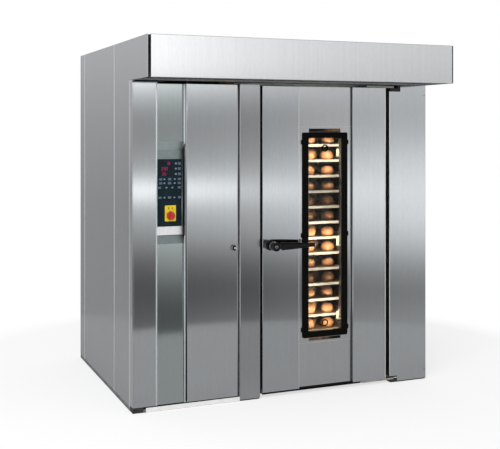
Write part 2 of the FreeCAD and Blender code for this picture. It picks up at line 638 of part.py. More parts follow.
def hood():
    front = -HOOD_REACH
    fascia_d = 25.0
    x0 = SHEET + HOOD_GROOVE
    x1 = CABINET_W - SHEET - HOOD_GROOVE / 3
    outside = block(x0, x1, front, front + fascia_d, HOOD_Z, CABINET_H)
    inside = block(x0 + SHEET, x1 - SHEET, front + SHEET, front + fascia_d, HOOD_Z + SHEET, CABINET_H - SHEET)
    save("hood_fascia", outside.cut(inside))
    left = block(0, SHEET, front, CORNER_POST_D, HOOD_Z, CABINET_H)
    right = block(CABINET_W - SHEET, CABINET_W, front, CHAMBER_Y, HOOD_Z, CABINET_H)
    save("hood_cheeks", left, right)
    save("hood_top", block(SHEET, CABINET_W - SHEET, front + fascia_d, 0, CABINET_H - SHEET, CABINET_H))
    plate_z = HOOD_Z + 12.0
    plate = block(SHEET, CABINET_W - SHEET, front + fascia_d, 0, plate_z, plate_z + SHEET)
    slot_count = 9
    rib = 24.0
    end_margin = 60.0
    row_count = 2
    row_rib = 56.0
    pitch = (CABINET_W - 2 * end_margin) / slot_count
    row_pitch = (HOOD_REACH - fascia_d - row_rib) / row_count
    slots = []
    for row in range(row_count):
        slot_y = front + fascia_d + row_rib + row * row_pitch
        for index in range(slot_count):
            slot_x = end_margin + index * pitch
            slots.append(block(slot_x, slot_x + pitch - rib, slot_y, slot_y + row_pitch - row_rib,
                               plate_z, plate_z + SHEET))
    save("hood_underside", plate.cut(Part.makeCompound(slots)))


# Baking chamber: steel walls with air slots on the left, insulation slabs, steam troughs

def chamber():
    y1 = CHAMBER_Y_END + SHEET
    left = block(CHAMBER_X - SHEET, CHAMBER_X, CHAMBER_Y, y1, PAN_TOP, CEILING_Z)
    slot_h = 12.0
    slot_d = 320.0
    slot_rise = 40.0
    slots = []
    for column in (0.14, 0.56):
        slot_y = CHAMBER_Y + column * 2 * CHAMBER_HALF_D
        for row in range(TRAY_COUNT):
            z = FIRST_TRAY_Z + row * TRAY_PITCH + slot_rise
            slots.append(block(CHAMBER_X - SHEET, CHAMBER_X, slot_y, slot_y + slot_d, z, z + slot_h))
    left = left.cut(Part.makeCompound(slots))
    right = block(CHAMBER_X_END, CHAMBER_X_END + SHEET, CHAMBER_Y, y1, PAN_TOP, CEILING_Z)
    back = block(CHAMBER_X, CHAMBER_X_END, CHAMBER_Y_END, y1, PAN_TOP, CEILING_Z)
    ceiling = block(CHAMBER_X - SHEET, CHAMBER_X_END + SHEET, CHAMBER_Y, y1, CEILING_Z, CEILING_Z + SHEET)
    ceiling = ceiling.cut(rod(SHAFT_R + 2 * SHEET, AXIS_X, AXIS_Y, CEILING_Z, UP_WAY, SHEET))
    save("chamber_walls", left, right, back, ceiling)


def insulation():
    y1 = CHAMBER_Y_END + SHEET
    back_y = CABINET_D - SHEET
    side_x = CABINET_W - SHEET
    deck_z = CEILING_Z + SHEET
    left = block(BAY_X_END, CHAMBER_X - SHEET, CHAMBER_Y, back_y, FOOT_H, deck_z)
    right = block(CHAMBER_X_END + SHEET, side_x, CHAMBER_Y, y1, FOOT_H, deck_z)
    rear = block(CHAMBER_X - SHEET, side_x, y1, back_y, FOOT_H, deck_z)
    roof = block(BAY_X_END, side_x, CHAMBER_Y, back_y, deck_z, ROOF_INSULATION_TOP)
    roof = roof.cut(rod(SHAFT_R + 3 * SHEET, AXIS_X, AXIS_Y, deck_z, UP_WAY, ROOF_INSULATION))
    save("insulation_slabs", left, right, rear, roof)


def steam_cascade():
    wall_gap = 8.0
    width = 92.0
    depth = 105.0
    z0 = 615.0
    trough_count = 9
    trough_pitch = 90.0
    trough_h = 30.0
    x0 = CHAMBER_X + wall_gap
    x1 = x0 + width
    y1 = CHAMBER_Y_END
    plate = block(x0, x1, y1 - SHEET, y1, z0, z0 + trough_count * trough_pitch)
    troughs = []
    for index in range(trough_count):
        z = z0 + index * trough_pitch
        trough = block(x0, x1, y1 - depth, y1, z, z + trough_h)
        water = block(x0 + SHEET, x1 - SHEET, y1 - depth + SHEET, y1 - SHEET, z + SHEET, z + trough_h)
        troughs.append(trough.cut(water))
    save("steam_cascade", join(plate, *troughs))


# Technical bay on the left: heat exchanger, burner, flue, circulation fan

HX_CLEARANCE = 80.0
HX_D = 802.0
HX_H = 1369.0
HX_X = HX_CLEARANCE
HX_X_END = BAY_X_END - 60.0
HX_Y_END = CABINET_D - HX_CLEARANCE
HX_Y = HX_Y_END - HX_D
HX_TOP = FOOT_H + HX_H
FLUE_X = (HX_X + HX_X_END) / 2
FLUE_Y = HX_Y_END - 150.0
FAN_R = 200.0
FAN_INLET_R = 130.0
FAN_MARGIN = 40.0
FAN_HOUSING_H = 193.0
FAN_X = FLUE_X
FAN_Y = HX_Y + FAN_R + 30.0
FAN_TOP = HX_TOP + FAN_HOUSING_H
FAN_SHAFT_R = 12.0
FAN_SHAFT_L = 110.0


def heat_exchanger():
    firebox_h = 300.0
    header_h = 200.0
    tube_r = 24.0
    columns = 4
    rows = 6

    def hollow(shrink):
        header_z = HX_TOP - header_h
        firebox_z = FOOT_H + firebox_h
        solids = []
        for z0, z1 in ((FOOT_H, firebox_z), (header_z, HX_TOP)):
            solids.append(block(HX_X + shrink, HX_X_END - shrink, HX_Y + shrink, HX_Y_END - shrink,
                                z0 + shrink, z1 - shrink))
        for column in range(columns):
            for row in range(rows):
                x = HX_X + (column + 0.5) * (HX_X_END - HX_X) / columns
                y = HX_Y + (row + 0.5) * HX_D / rows
                tube_z = firebox_z - shrink
                solids.append(rod(tube_r - shrink, x, y, tube_z, UP_WAY, header_z + shrink - tube_z))
        return join(*solids)

    flame_hole = rod(BURNER_SNOUT_R - 2 * SHEET, FLUE_X, HX_Y, BURNER_Z, BACK_WAY, SHEET)
    flue_hole = rod(FLUE_R, FLUE_X, FLUE_Y, HX_TOP - SHEET, UP_WAY, SHEET)
    save("heat_exchanger", hollow(0).cut(hollow(SHEET)).cut(flame_hole).cut(flue_hole))


BURNER_SNOUT_R = 70.0
BURNER_Z = FOOT_H + 150.0


def burner():
    snout_l = 60.0
    body_d = 270.0
    body_half_w = 110.0
    body_below = 110.0
    body_above = 130.0
    body_edge = 30.0
    blower_r = 90.0
    blower_w = 60.0
    snout_y = HX_Y - snout_l
    body_y = snout_y - body_d
    snout = rod(BURNER_SNOUT_R, FLUE_X, snout_y, BURNER_Z, BACK_WAY, snout_l)
    body = block(FLUE_X - body_half_w, FLUE_X + body_half_w, body_y, snout_y,
                 BURNER_Z - body_below, BURNER_Z + body_above)
    body = rounded(body, body_edge, BACK_WAY)
    blower = rod(blower_r, FLUE_X + body_half_w, body_y + body_half_w, BURNER_Z + body_above - body_below,
                 RIGHT_WAY, blower_w)
    save("burner", join(snout, body, blower))


def flue():
    save("flue_pipe", tube(FLUE_R + SHEET, FLUE_R, FLUE_X, FLUE_Y, HX_TOP, UP_WAY, CABINET_H - HX_TOP))


def fan():
    x0 = FAN_X - FAN_R - FAN_MARGIN
    x1 = BAY_X_END
    y0 = HX_Y
    y1 = FAN_Y + FAN_R + FAN_MARGIN
    deck = block(x0, x1, y0, y1, HX_TOP, HX_TOP + SHEET)
    inlet_clearance = 20.0
    deck = deck.cut(rod(FAN_INLET_R + inlet_clearance, FAN_X, FAN_Y, HX_TOP, UP_WAY, SHEET))
    shaft_clearance = 8.0
    lid = block(x0, x1, y0, y1, FAN_TOP - SHEET, FAN_TOP)
    lid = lid.cut(rod(FAN_SHAFT_R + shaft_clearance, FAN_X, FAN_Y, FAN_TOP - SHEET, UP_WAY, SHEET))
    wall_z = HX_TOP + SHEET
    lid_z = FAN_TOP - SHEET
    side = block(x0, x0 + SHEET, y0, y1, wall_z, lid_z)
    front = block(x0 + SHEET, x1, y0, y0 + SHEET, wall_z, lid_z)
    back = block(x0 + SHEET, x1, y1 - SHEET, y1, wall_z, lid_z)
    save("fan_housing", deck, lid, side, front, back)
    motor_r = 105.0
    motor_l = 270.0
    flange_r = 130.0
    flange_t = 12.0
    box_half_w = 50.0
    box_out = 35.0
    box_sunk = 15.0
    box_z = FAN_TOP + motor_l / 3
    end_gap = 2.0
    flange = rod(flange_r, FAN_X, FAN_Y, FAN_TOP, UP_WAY, flange_t)
    body = rod(motor_r, FAN_X, FAN_Y, FAN_TOP + flange_t, UP_WAY, motor_l)
    terminal_box = block(FAN_X - box_half_w, FAN_X + box_half_w, FAN_Y - motor_r - box_out,
                         FAN_Y - motor_r + box_sunk, box_z, box_z + 2 * box_half_w)
    bore = rod(FAN_SHAFT_R + FIT, FAN_X, FAN_Y, FAN_TOP, UP_WAY, FAN_SHAFT_L + end_gap)
    save("fan_motor", join(flange, body, terminal_box).cut(bore))
    wheel_gap = 14.0
    wheel_z = HX_TOP + SHEET + wheel_gap
    wheel_top = FAN_TOP - wheel_gap
    plate_t = 5.0
    hub_r = 34.0
    hub_l = 60.0
    blade_t = 4.0
    blade_lean = 35.0
    blade_edge = 4.0
    blade_in = FAN_INLET_R + blade_edge
    blade_out = FAN_R - blade_edge
    back_plate = rod(FAN_R, FAN_X, FAN_Y, wheel_top - plate_t, UP_WAY, plate_t)
    inlet_ring = tube(FAN_R, FAN_INLET_R, FAN_X, FAN_Y, wheel_z, UP_WAY, plate_t)
    hub_z = wheel_top - hub_l
    hub = rod(hub_r, FAN_X, FAN_Y, hub_z, UP_WAY, hub_l)
    shaft = rod(FAN_SHAFT_R, FAN_X, FAN_Y, hub_z, UP_WAY, FAN_TOP + FAN_SHAFT_L - hub_z)
    blade_count = 12
    blades = []
    for index in range(blade_count):
        blade = block(FAN_X + blade_in, FAN_X + blade_out, FAN_Y - blade_t / 2, FAN_Y + blade_t / 2,
                      wheel_z, wheel_top)
        blade.rotate(Vector(FAN_X + (blade_in + blade_out) / 2, FAN_Y, 0), UP_WAY, -blade_lean)
        blade.rotate(Vector(FAN_X, FAN_Y, 0), UP_WAY, index * 360 / blade_count)
        blades.append(blade)
    save("fan_wheel", join(back_plate, inlet_ring, hub, shaft, *blades))


# Rack drive over the ceiling, its shaft and the hook that carries the rack

SHAFT_R = 20.0
BRIDGE_T = 6.0
GEARBOX_H = 90.0
GEARBOX_W = 170.0
LIFT_BAR_R = 14.0
LIFT_Z = RACK_TOP_Z + 22.0
HOOK_W = 80.0
HOOK_D = 64.0


def rack_drive():
    deck_z = ROOF_INSULATION_TOP
    box_z = deck_z + BRIDGE_T
    half = GEARBOX_W / 2
    bridge_half_w = 260.0
    bridge_half_d = 130.0
    gearbox_edge = 18.0
    motor_r = 40.0
    motor_l = 250.0
    motor_in = 20.0
    bridge = block(AXIS_X - bridge_half_w, AXIS_X + bridge_half_w, AXIS_Y - bridge_half_d,
                   AXIS_Y + bridge_half_d, deck_z, box_z)
    gearbox = block(AXIS_X - half, AXIS_X + half, AXIS_Y - half, AXIS_Y + half, box_z, box_z + GEARBOX_H)
    gearbox = rounded(gearbox, gearbox_edge, UP_WAY)
    motor = rod(motor_r, AXIS_X + half - motor_in, AXIS_Y, box_z + GEARBOX_H / 2, RIGHT_WAY, motor_l)
    bore = rod(SHAFT_R + FIT, AXIS_X, AXIS_Y, deck_z, UP_WAY, BRIDGE_T + GEARBOX_H)
    save("rack_drive", join(bridge, gearbox, motor).cut(bore))
    hook_top = LIFT_Z + 70.0
    hook_foot = LIFT_Z - 34.0
    shaft_in = 10.0
    shaft_z = hook_top - shaft_in
    shaft_top = box_z + GEARBOX_H - 8.0
    mouth_top = LIFT_Z + 2 * LIFT_BAR_R + 6.0
    shaft = rod(SHAFT_R, AXIS_X, AXIS_Y, shaft_z, UP_WAY, shaft_top - shaft_z)
    head = block(AXIS_X - HOOK_W / 2, AXIS_X + HOOK_W / 2, AXIS_Y - HOOK_D / 2, AXIS_Y + HOOK_D / 2,
                 hook_foot, hook_top)
    seat = rod(LIFT_BAR_R, AXIS_X - HOOK_W, AXIS_Y, LIFT_Z, RIGHT_WAY, 2 * HOOK_W)
    mouth = block(AXIS_X - HOOK_W, AXIS_X + HOOK_W, AXIS_Y - LIFT_BAR_R, AXIS_Y + HOOK_D, LIFT_Z, mouth_top)
    save("rack_hook", join(shaft, head.cut(seat).cut(mouth)))


# Rack: two ladders of posts and tray rails, top and base bars, flat trays

POST_W = 25.0
RACK_HALF_W = RACK_W / 2
RACK_HALF_D = RACK_D / 2
RAIL_IN = RACK_HALF_W - POST_W
RAIL_LEG = 30.0
RAIL_SIDE_H = 18.0
FLOOR_CLEARANCE = 15.0
FORK_HEADROOM = 24.0
RACK_BASE_Z = PAN_TOP + FLOOR_CLEARANCE + 2 * WHEEL_R + FORK_HEADROOM
BASE_PLATE_T = 8.0
CASTER_INSET = 70.0
CASTER_X = RACK_HALF_W - CASTER_INSET
CASTER_Y = RACK_HALF_D - CASTER_INSET
CASTER_PLATE_HALF_W = 45.0
KINGPIN_R = 8.0


def rack_block(x0, x1, y0, y1, z0, z1):
    return block(AXIS_X + x0, AXIS_X + x1, AXIS_Y + y0, AXIS_Y + y1, z0, z1)


def mirrored(solid):
    return solid.mirror(Vector(AXIS_X, AXIS_Y, 0), RIGHT_WAY)


def rack_ladder():
    post_y = RACK_HALF_D - POST_W
    bars = [rack_block(RAIL_IN, RACK_HALF_W, post_y, RACK_HALF_D, RACK_BASE_Z, RACK_TOP_Z),
            rack_block(RAIL_IN, RACK_HALF_W, -RACK_HALF_D, -post_y, RACK_BASE_Z, RACK_TOP_Z)]
    for index in range(TRAY_COUNT):
        z = FIRST_TRAY_Z + index * TRAY_PITCH
        bars.append(rack_block(RAIL_IN - RAIL_LEG, RAIL_IN, -RACK_HALF_D, RACK_HALF_D, z - SHEET, z))
        bars.append(rack_block(RAIL_IN - SHEET, RAIL_IN, -RACK_HALF_D, RACK_HALF_D, z, z + RAIL_SIDE_H))
    return join(*bars)


def rack_top():
    bar_y = RACK_HALF_D - POST_W
    z0 = RACK_TOP_Z - POST_W
    bars = [rack_block(-RAIL_IN, RAIL_IN, bar_y, RACK_HALF_D, z0, RACK_TOP_Z),
            rack_block(-RAIL_IN, RAIL_IN, -RACK_HALF_D, -bar_y, z0, RACK_TOP_Z)]
    ear_x = HOOK_W + 60.0
    ear_t = 10.0
    ear_half_d = 35.0
    ear_top = LIFT_Z + LIFT_BAR_R + 10.0
    for x0 in (-ear_x - ear_t, ear_x):
        bars.append(rack_block(x0, x0 + ear_t, -bar_y, bar_y, z0, RACK_TOP_Z))
        bars.append(rack_block(x0, x0 + ear_t, -ear_half_d, ear_half_d, z0, ear_top))
    lift_l = 2 * (ear_x + ear_t)
    lift_bar = rod(LIFT_BAR_R, AXIS_X - lift_l / 2, AXIS_Y, LIFT_Z, RIGHT_WAY, lift_l)
    return join(lift_bar, *bars)


def rack_base():
    plate_x = CASTER_X - CASTER_PLATE_HALF_W
    plate_z1 = RACK_BASE_Z + BASE_PLATE_T
    plate = rack_block(plate_x, RAIL_IN, -RACK_HALF_D, RACK_HALF_D, RACK_BASE_Z, plate_z1)
    kingpin = rod(KINGPIN_R + FIT, AXIS_X + CASTER_X, AXIS_Y - CASTER_Y, RACK_BASE_Z, UP_WAY, BASE_PLATE_T)
    plate = plate.cut(kingpin)
    bar_y = RACK_HALF_D - POST_W
    front = rack_block(-RAIL_IN, RAIL_IN, -RACK_HALF_D, -bar_y, plate_z1, plate_z1 + POST_W)
    back = rack_block(-RAIL_IN, RAIL_IN, bar_y, RACK_HALF_D, plate_z1, plate_z1 + POST_W)
    fixed_fork = caster_fork(CASTER_X, CASTER_Y, 0, RACK_BASE_Z)
    return plate, mirrored(plate), front, back, fixed_fork, mirrored(fixed_fork)


def rack():
    ladder = rack_ladder()
    save("rack_frame", ladder, mirrored(ladder), rack_top(), *rack_base())
    tray_slack = 5.0
    half_w = RAIL_IN - tray_slack
    half_d = RACK_HALF_D - 20.0
    tray_t = 2.0
    lip_h = 16.0
    lip_half = RAIL_IN - RAIL_LEG - tray_slack
    trays = []
    for index in range(TRAY_COUNT):
        z = FIRST_TRAY_Z + index * TRAY_PITCH
        sheet = rack_block(-half_w, half_w, -half_d, half_d, z, z + tray_t)
        front_lip = rack_block(-lip_half, lip_half, -half_d, -half_d + tray_t, z - lip_h, z)
        back_lip = rack_block(-lip_half, lip_half, half_d - tray_t, half_d, z - lip_h, z)
        trays.append(join(sheet, front_lip, back_lip))
    save("trays", *trays)


# Casters: two fixed at the back of the rack, two that swivel at the front

WHEEL_W = 32.0
WHEEL_Z = PAN_TOP + FLOOR_CLEARANCE + WHEEL_R
AXLE_R = 6.0
TRAIL = 35.0
FORK_T = 4.0


def caster_fork(x, y, trail, top_z):
    gap = WHEEL_W / 2 + 2.0
    top_t = 8.0
    top_half_d = 32.0
    leg_half_d = 20.0
    leg_z = WHEEL_Z - 14.0
    plate = rack_block(x - gap - FORK_T, x + gap + FORK_T, y - top_half_d, y + top_half_d,
                       top_z - top_t, top_z)
    pieces = [plate]
    for side_x in (x - gap - FORK_T, x + gap):
        pieces.append(rack_block(side_x, side_x + FORK_T, y - leg_half_d, y + trail + leg_half_d,
                                 leg_z, top_z - top_t))
    axle_l = 2 * (gap + FORK_T)
    pieces.append(rod(AXLE_R, AXIS_X + x - axle_l / 2, AXIS_Y + y + trail, WHEEL_Z, RIGHT_WAY, axle_l))
    return join(*pieces)


def caster_wheel(x, y):
    start = AXIS_X + x - WHEEL_W / 2
    wheel = rod(WHEEL_R, start, AXIS_Y + y, WHEEL_Z, RIGHT_WAY, WHEEL_W)
    tread_edge = 6.0
    wheel = wheel.makeFillet(tread_edge, [edge for edge in wheel.Edges if len(edge.Vertexes) == 1])
    return wheel.cut(rod(AXLE_R + FIT, start, AXIS_Y + y, WHEEL_Z, RIGHT_WAY, WHEEL_W))


def casters():
    slack = 2.0
    fork_top = RACK_BASE_Z - slack
    for side, sign in (("left", -1), ("right", 1)):
        x = sign * CASTER_X
        fork = caster_fork(x, -CASTER_Y, TRAIL, fork_top)
        kingpin = rod(KINGPIN_R, AXIS_X + x, AXIS_Y - CASTER_Y, fork_top, UP_WAY, BASE_PLATE_T + slack)
        save("swivel_fork_" + side, join(fork, kingpin))
        save("front_wheel_" + side, caster_wheel(x, TRAIL - CASTER_Y))
        save("rear_wheel_" + side, caster_wheel(x, CASTER_Y))


# Supply fittings on the sunk roof: water, gas and a cable gland

def supply_fittings():
    fittings = []
    flange_t = 6.0
    flange_w = 20.0
    neck_wall = 6.0
    total_h = 38.0
    fitting_pitch = 110.0
    y = 381.0
    z = ROOF_Z + SHEET
    water_r = 9.5
    gas_r = 15.0
    cable_r = 9.0
    for index, bore_r in enumerate((water_r, gas_r, cable_r)):
        x = FAN_X - fitting_pitch + index * fitting_pitch
        flange = rod(bore_r + flange_w, x, y, z, UP_WAY, flange_t)
        neck = rod(bore_r + neck_wall, x, y, z, UP_WAY, total_h)
        fittings.append(join(flange, neck).cut(rod(bore_r, x, y, z, UP_WAY, total_h)))
    save("supply_fittings", *fittings)


os.makedirs("parts", exist_ok=True)
base_frame()
floor_pan()
feet()
cladding()
front_posts()
pillars()
control_column()
control_board()
main_switch_knob()
service_door()
service_lock()
door_frame()
hinges()
main_door()
door_window()
door_lamps()
door_seal()
handle()
hood()
chamber()
insulation()
steam_cascade()
heat_exchanger()
burner()
flue()
fan()
rack_drive()
rack()
casters()
supply_fittings()
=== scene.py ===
import json
import math
import random
import bmesh
import bpy
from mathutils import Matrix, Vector

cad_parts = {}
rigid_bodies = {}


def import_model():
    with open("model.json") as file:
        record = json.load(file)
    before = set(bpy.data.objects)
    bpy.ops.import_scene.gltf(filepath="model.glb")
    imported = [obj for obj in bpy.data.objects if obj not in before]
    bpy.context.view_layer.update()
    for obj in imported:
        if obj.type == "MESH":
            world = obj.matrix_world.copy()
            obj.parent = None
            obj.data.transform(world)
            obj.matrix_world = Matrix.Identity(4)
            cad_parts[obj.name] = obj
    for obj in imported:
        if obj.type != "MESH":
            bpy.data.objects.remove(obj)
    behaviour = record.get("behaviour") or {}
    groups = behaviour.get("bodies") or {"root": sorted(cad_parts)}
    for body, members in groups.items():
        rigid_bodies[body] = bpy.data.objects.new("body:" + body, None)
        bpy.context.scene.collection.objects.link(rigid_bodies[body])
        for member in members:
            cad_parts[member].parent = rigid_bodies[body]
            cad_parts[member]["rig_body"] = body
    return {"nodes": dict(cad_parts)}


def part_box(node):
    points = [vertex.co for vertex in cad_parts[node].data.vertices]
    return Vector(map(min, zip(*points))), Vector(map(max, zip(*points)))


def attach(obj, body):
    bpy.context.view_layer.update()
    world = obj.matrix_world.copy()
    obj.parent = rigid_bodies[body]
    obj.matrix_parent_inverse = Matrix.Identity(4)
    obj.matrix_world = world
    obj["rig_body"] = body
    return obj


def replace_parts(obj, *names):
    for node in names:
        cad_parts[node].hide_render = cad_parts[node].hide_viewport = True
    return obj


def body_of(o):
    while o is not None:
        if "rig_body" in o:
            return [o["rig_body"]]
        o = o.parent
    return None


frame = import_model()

scene = bpy.context.scene
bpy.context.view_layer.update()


# Base: rails under the cladding, the chamber's floor pan, and feet.
# The rails are angle steel welded into a ladder and primed grey, the pan is one thick plain sheet laid
# between them, and the feet are black pads screwed up from below.

def add_node(tree, kind, inputs, **settings):
    made = tree.nodes.new("ShaderNode" + kind)
    for name, value in settings.items():
        setattr(made, name, value)
    for name, value in inputs.items():
        if isinstance(value, bpy.types.NodeSocket):
            tree.links.new(value, made.inputs[name])
        else:
            made.inputs[name].default_value = value
    return made


def maths(tree, operation, *values):
    return add_node(tree, "Math", dict(enumerate(values)), operation=operation).outputs[0]


def ranged(tree, value, start=0.0, end=1.0, low=0.0, high=1.0, **settings):
    limits = {"Value": value, "From Min": start, "From Max": end, "To Min": low, "To Max": high}
    return add_node(tree, "MapRange", limits, **settings).outputs[0]


def mixed(tree, share, first, second, **settings):
    return add_node(tree, "Mix", {0: share, 6: first, 7: second}, data_type="RGBA", **settings).outputs[2]


def place_on(tree):
    return add_node(tree, "TexCoord", {}).outputs["Object"]


def part_of(tree, vector, axis):
    return add_node(tree, "SeparateXYZ", {"Vector": vector}).outputs[axis]


def new_group(name, inputs, outputs):
    group = bpy.data.node_groups.new(name, "ShaderNodeTree")
    for socket, kind in inputs.items():
        group.interface.new_socket(socket, in_out="INPUT", socket_type="NodeSocket" + kind)
    for socket in outputs:
        group.interface.new_socket(socket, in_out="OUTPUT", socket_type="NodeSocketFloat")
    return group, group.nodes.new("NodeGroupInput"), group.nodes.new("NodeGroupOutput")


noise_low = 0.32
noise_high = 0.68
fine_times = 9.0
patches, patches_in, patches_out = new_group(
    "patches", {"Grain": "Float", "Stretch": "Vector"}, ["Patch", "Fine"])
drawn_out = add_node(patches, "VectorMath", {0: place_on(patches), 1: patches_in.outputs["Stretch"]},
                     operation="MULTIPLY").outputs[0]
per_metre = maths(patches, "DIVIDE", 1.0, patches_in.outputs["Grain"])
fine_per_metre = maths(patches, "MULTIPLY", per_metre, fine_times)
for output, scale, detail in (("Patch", per_metre, 3.0), ("Fine", fine_per_metre, 2.0)):
    noise = add_node(patches, "TexNoise", {"Vector": drawn_out, "Scale": scale, "Detail": detail})
    patches.links.new(ranged(patches, noise.outputs["Fac"], noise_low, noise_high),
                      patches_out.inputs[output])


def shader_of(tree):
    return tree.nodes["Principled BSDF"]


def paint(tree, **looks):
    for socket, look in looks.items():
        tree.links.new(look, shader_of(tree).inputs[socket.replace("_", " ")])


bump_strength = 0.4


def surface(name, dark, light, grain, gloss, dent, stretch=(1.0, 1.0, 1.0), **fixed):
    material = bpy.data.materials.new(name)
    material.use_nodes = True
    tree = material.node_tree
    for socket, value in fixed.items():
        shader_of(tree).inputs[socket.replace("_", " ")].default_value = value
    marks = add_node(tree, "Group", {"Grain": grain, "Stretch": stretch}, node_tree=patches)
    relief = add_node(tree, "Bump", {"Height": marks.outputs["Fine"], "Strength": bump_strength,
                                     "Distance": dent})
    paint(tree, Base_Color=mixed(tree, marks.outputs["Patch"], (*dark, 1.0), (*light, 1.0)),
          Roughness=ranged(tree, marks.outputs["Fine"], low=gloss[0], high=gloss[1]),
          Normal=relief.outputs[0])
    return material


def coat(material, *nodes):
    for node in nodes:
        for slot in frame["nodes"][node].material_slots:
            slot.material = material


oven_centre = (0.0, 0.0, 1.2)
oven_half = (1.1, 1.1, 1.2)
corner_angle = 35


def show(mesh, material, body, edge=0.0, rings=2, fold=0.0):
    mesh.materials.clear()
    mesh.materials.append(material)
    # One texture space for the whole oven, so that the brushing runs upright on every sheet
    mesh.use_auto_texspace = False
    mesh.texspace_location = oven_centre
    mesh.texspace_size = oven_half
    piece = bpy.data.objects.new(mesh.name, mesh)
    scene.collection.objects.link(piece)
    if edge > 0 or fold > 0:
        rounding = piece.modifiers.new("rounded_edges", "BEVEL")
        rounding.width = max(edge, fold)
        rounding.segments = rings
        rounding.limit_method = "WEIGHT" if fold > 0 else "ANGLE"
        rounding.use_clamp_overlap = fold == 0
        rounding.angle_limit = math.radians(corner_angle)
        rounding.harden_normals = True
    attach(piece, body)
    return piece


def mesh_of(work, name, crease=corner_angle):
    mesh = bpy.data.meshes.new(name)
    bmesh.ops.recalc_face_normals(work, faces=work.faces)
    work.to_mesh(mesh)
    work.free()
    mesh.shade_smooth()
    mesh.set_sharp_from_angle(angle=math.radians(crease))
    return mesh


def face_width(face):
    return face.calc_area() / max(edge.calc_length() for edge in face.edges)


def mark_folds(work, fold):
    weight = work.edges.layers.float.new("bevel_weight_edge")
    corner = math.radians(corner_angle)
    for edge in work.edges:
        if len(edge.link_faces) == 2 and edge.is_convex and edge.calc_face_angle() > corner:
            if min(face_width(face) for face in edge.link_faces) > 2 * fold:
                edge[weight] = 1.0


same_point = 0.00001
same_plane = math.radians(1)
sheet_edge = 0.0012
edge_reach = 0.0045


def lift_edge(piece, level, lift):
    for vertex in piece.data.vertices:
        if abs(vertex.co.z - level) < edge_reach:
            vertex.co.z += lift


def dress(node, material, edge=sheet_edge, rings=2, fold=0.0, shift=(0.0, 0.0, 0.0), crease=corner_angle,
          foot_lift=0.0):
    cad = frame["nodes"][node]
    work = bmesh.new()
    work.from_mesh(cad.data)
    bmesh.ops.remove_doubles(work, verts=work.verts, dist=same_point)
    bmesh.ops.dissolve_limit(work, angle_limit=same_plane, verts=work.verts, edges=work.edges)
    bmesh.ops.translate(work, vec=Vector(shift), verts=work.verts)
    if fold > 0:
        mark_folds(work, fold)
    piece = show(mesh_of(work, node + "_finished", crease), material, body_of(cad)[0],
                 edge, rings, fold)
    if foot_lift > 0:
        lift_edge(piece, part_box(node)[0].z, foot_lift)
    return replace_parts(piece, node)


rail_paint = surface("rail_primer", (0.1, 0.102, 0.105), (0.16, 0.163, 0.167), grain=0.04,
                     gloss=(0.5, 0.7), dent=0.0004)
pan_steel = surface("floor_pan_steel", (0.3, 0.29, 0.28), (0.46, 0.45, 0.43), grain=0.12,
                    gloss=(0.35, 0.55), dent=0.0003, Metallic=1.0)
black_pad = surface("black_foot_pad", (0.012, 0.012, 0.012), (0.03, 0.03, 0.029), grain=0.02,
                    gloss=(0.5, 0.75), dent=0.0006)
coat(rail_paint, "base_frame")
coat(pan_steel, "floor_pan")
# The front sheets end this much above their solids, and the corner foot reaches up to them
front_lift = 0.01
lift_edge(dress("levelling_feet", black_pad, edge=0.002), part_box("levelling_feet")[1].z, front_lift)


# Cabinet cladding: three sheets on each side with a seam between them, and two sheets at the back.
# Brushed stainless sheet, edges folded back, hung on the frame from inside on the left and screwed
# along the edges on the sides that stand against a wall.

dust, dust_in, dust_out = new_group("floor_dust", {"Top": "Float"}, ["Dust"])
dust_place = place_on(dust)
dust_fade = ranged(dust, part_of(dust, dust_place, "Z"), dust_in.outputs["Top"], 0.0,
                   interpolation_type="SMOOTHSTEP")
dust_noise = add_node(dust, "TexNoise", {"Vector": dust_place, "Scale": 14.0, "Detail": 4.0})
dust.links.new(maths(dust, "MULTIPLY", dust_fade, dust_noise.outputs["Fac"]), dust_out.inputs["Dust"])


def base_colour(tree):
    return shader_of(tree).inputs["Base Color"].links[0].from_socket


def tint(tree, shade):
    paint(tree, Base_Color=mixed(tree, 1.0, base_colour(tree), shade, blend_type="MULTIPLY"))


def cover(tree, share, colour):
    paint(tree, Base_Color=mixed(tree, share, base_colour(tree), colour))


dust_grey = (0.5, 0.515, 0.53, 1.0)
dust_top = 0.22


def brushed_steel(name, dark, light, gloss):
    steel = surface(name, dark, light, grain=0.02, gloss=gloss, dent=0.000006, stretch=(1.0, 1.0, 0.012),
                    Metallic=1.0, Anisotropic=0.95)
    tree = steel.node_tree
    lines = add_node(tree, "Group", {"Grain": 0.006, "Stretch": (1.0, 1.0, 0.02)}, node_tree=patches)
    tint(tree, ranged(tree, lines.outputs["Fine"], low=0.94, high=1.06))
    settled = add_node(tree, "Group", {"Top": dust_top}, node_tree=dust)
    cover(tree, settled.outputs["Dust"], dust_grey)
    return steel


def turned(work, outline, centre, turn, steps):
    loops = []
    for reach, radius in outline:
        count = steps if radius > 0 else 1
        loop = []
        for step in range(count):
            angle = 2 * math.pi * step / steps
            spot = Vector((radius * math.cos(angle), radius * math.sin(angle), reach))
            loop.append(work.verts.new(centre + turn @ spot))
        loops.append(loop)
    for lower, upper in zip(loops, loops[1:]):
        for step in range(steps):
            after = (step + 1) % steps
            corners = [lower[step % len(lower)], lower[after % len(lower)],
                       upper[after % len(upper)], upper[step % len(upper)]]
            corners = list(dict.fromkeys(corners))
            if len(corners) > 2:
                work.faces.new(corners)


def facing(out):
    return Vector((0.0, 0.0, 1.0)).rotation_difference(Vector(out)).to_matrix()


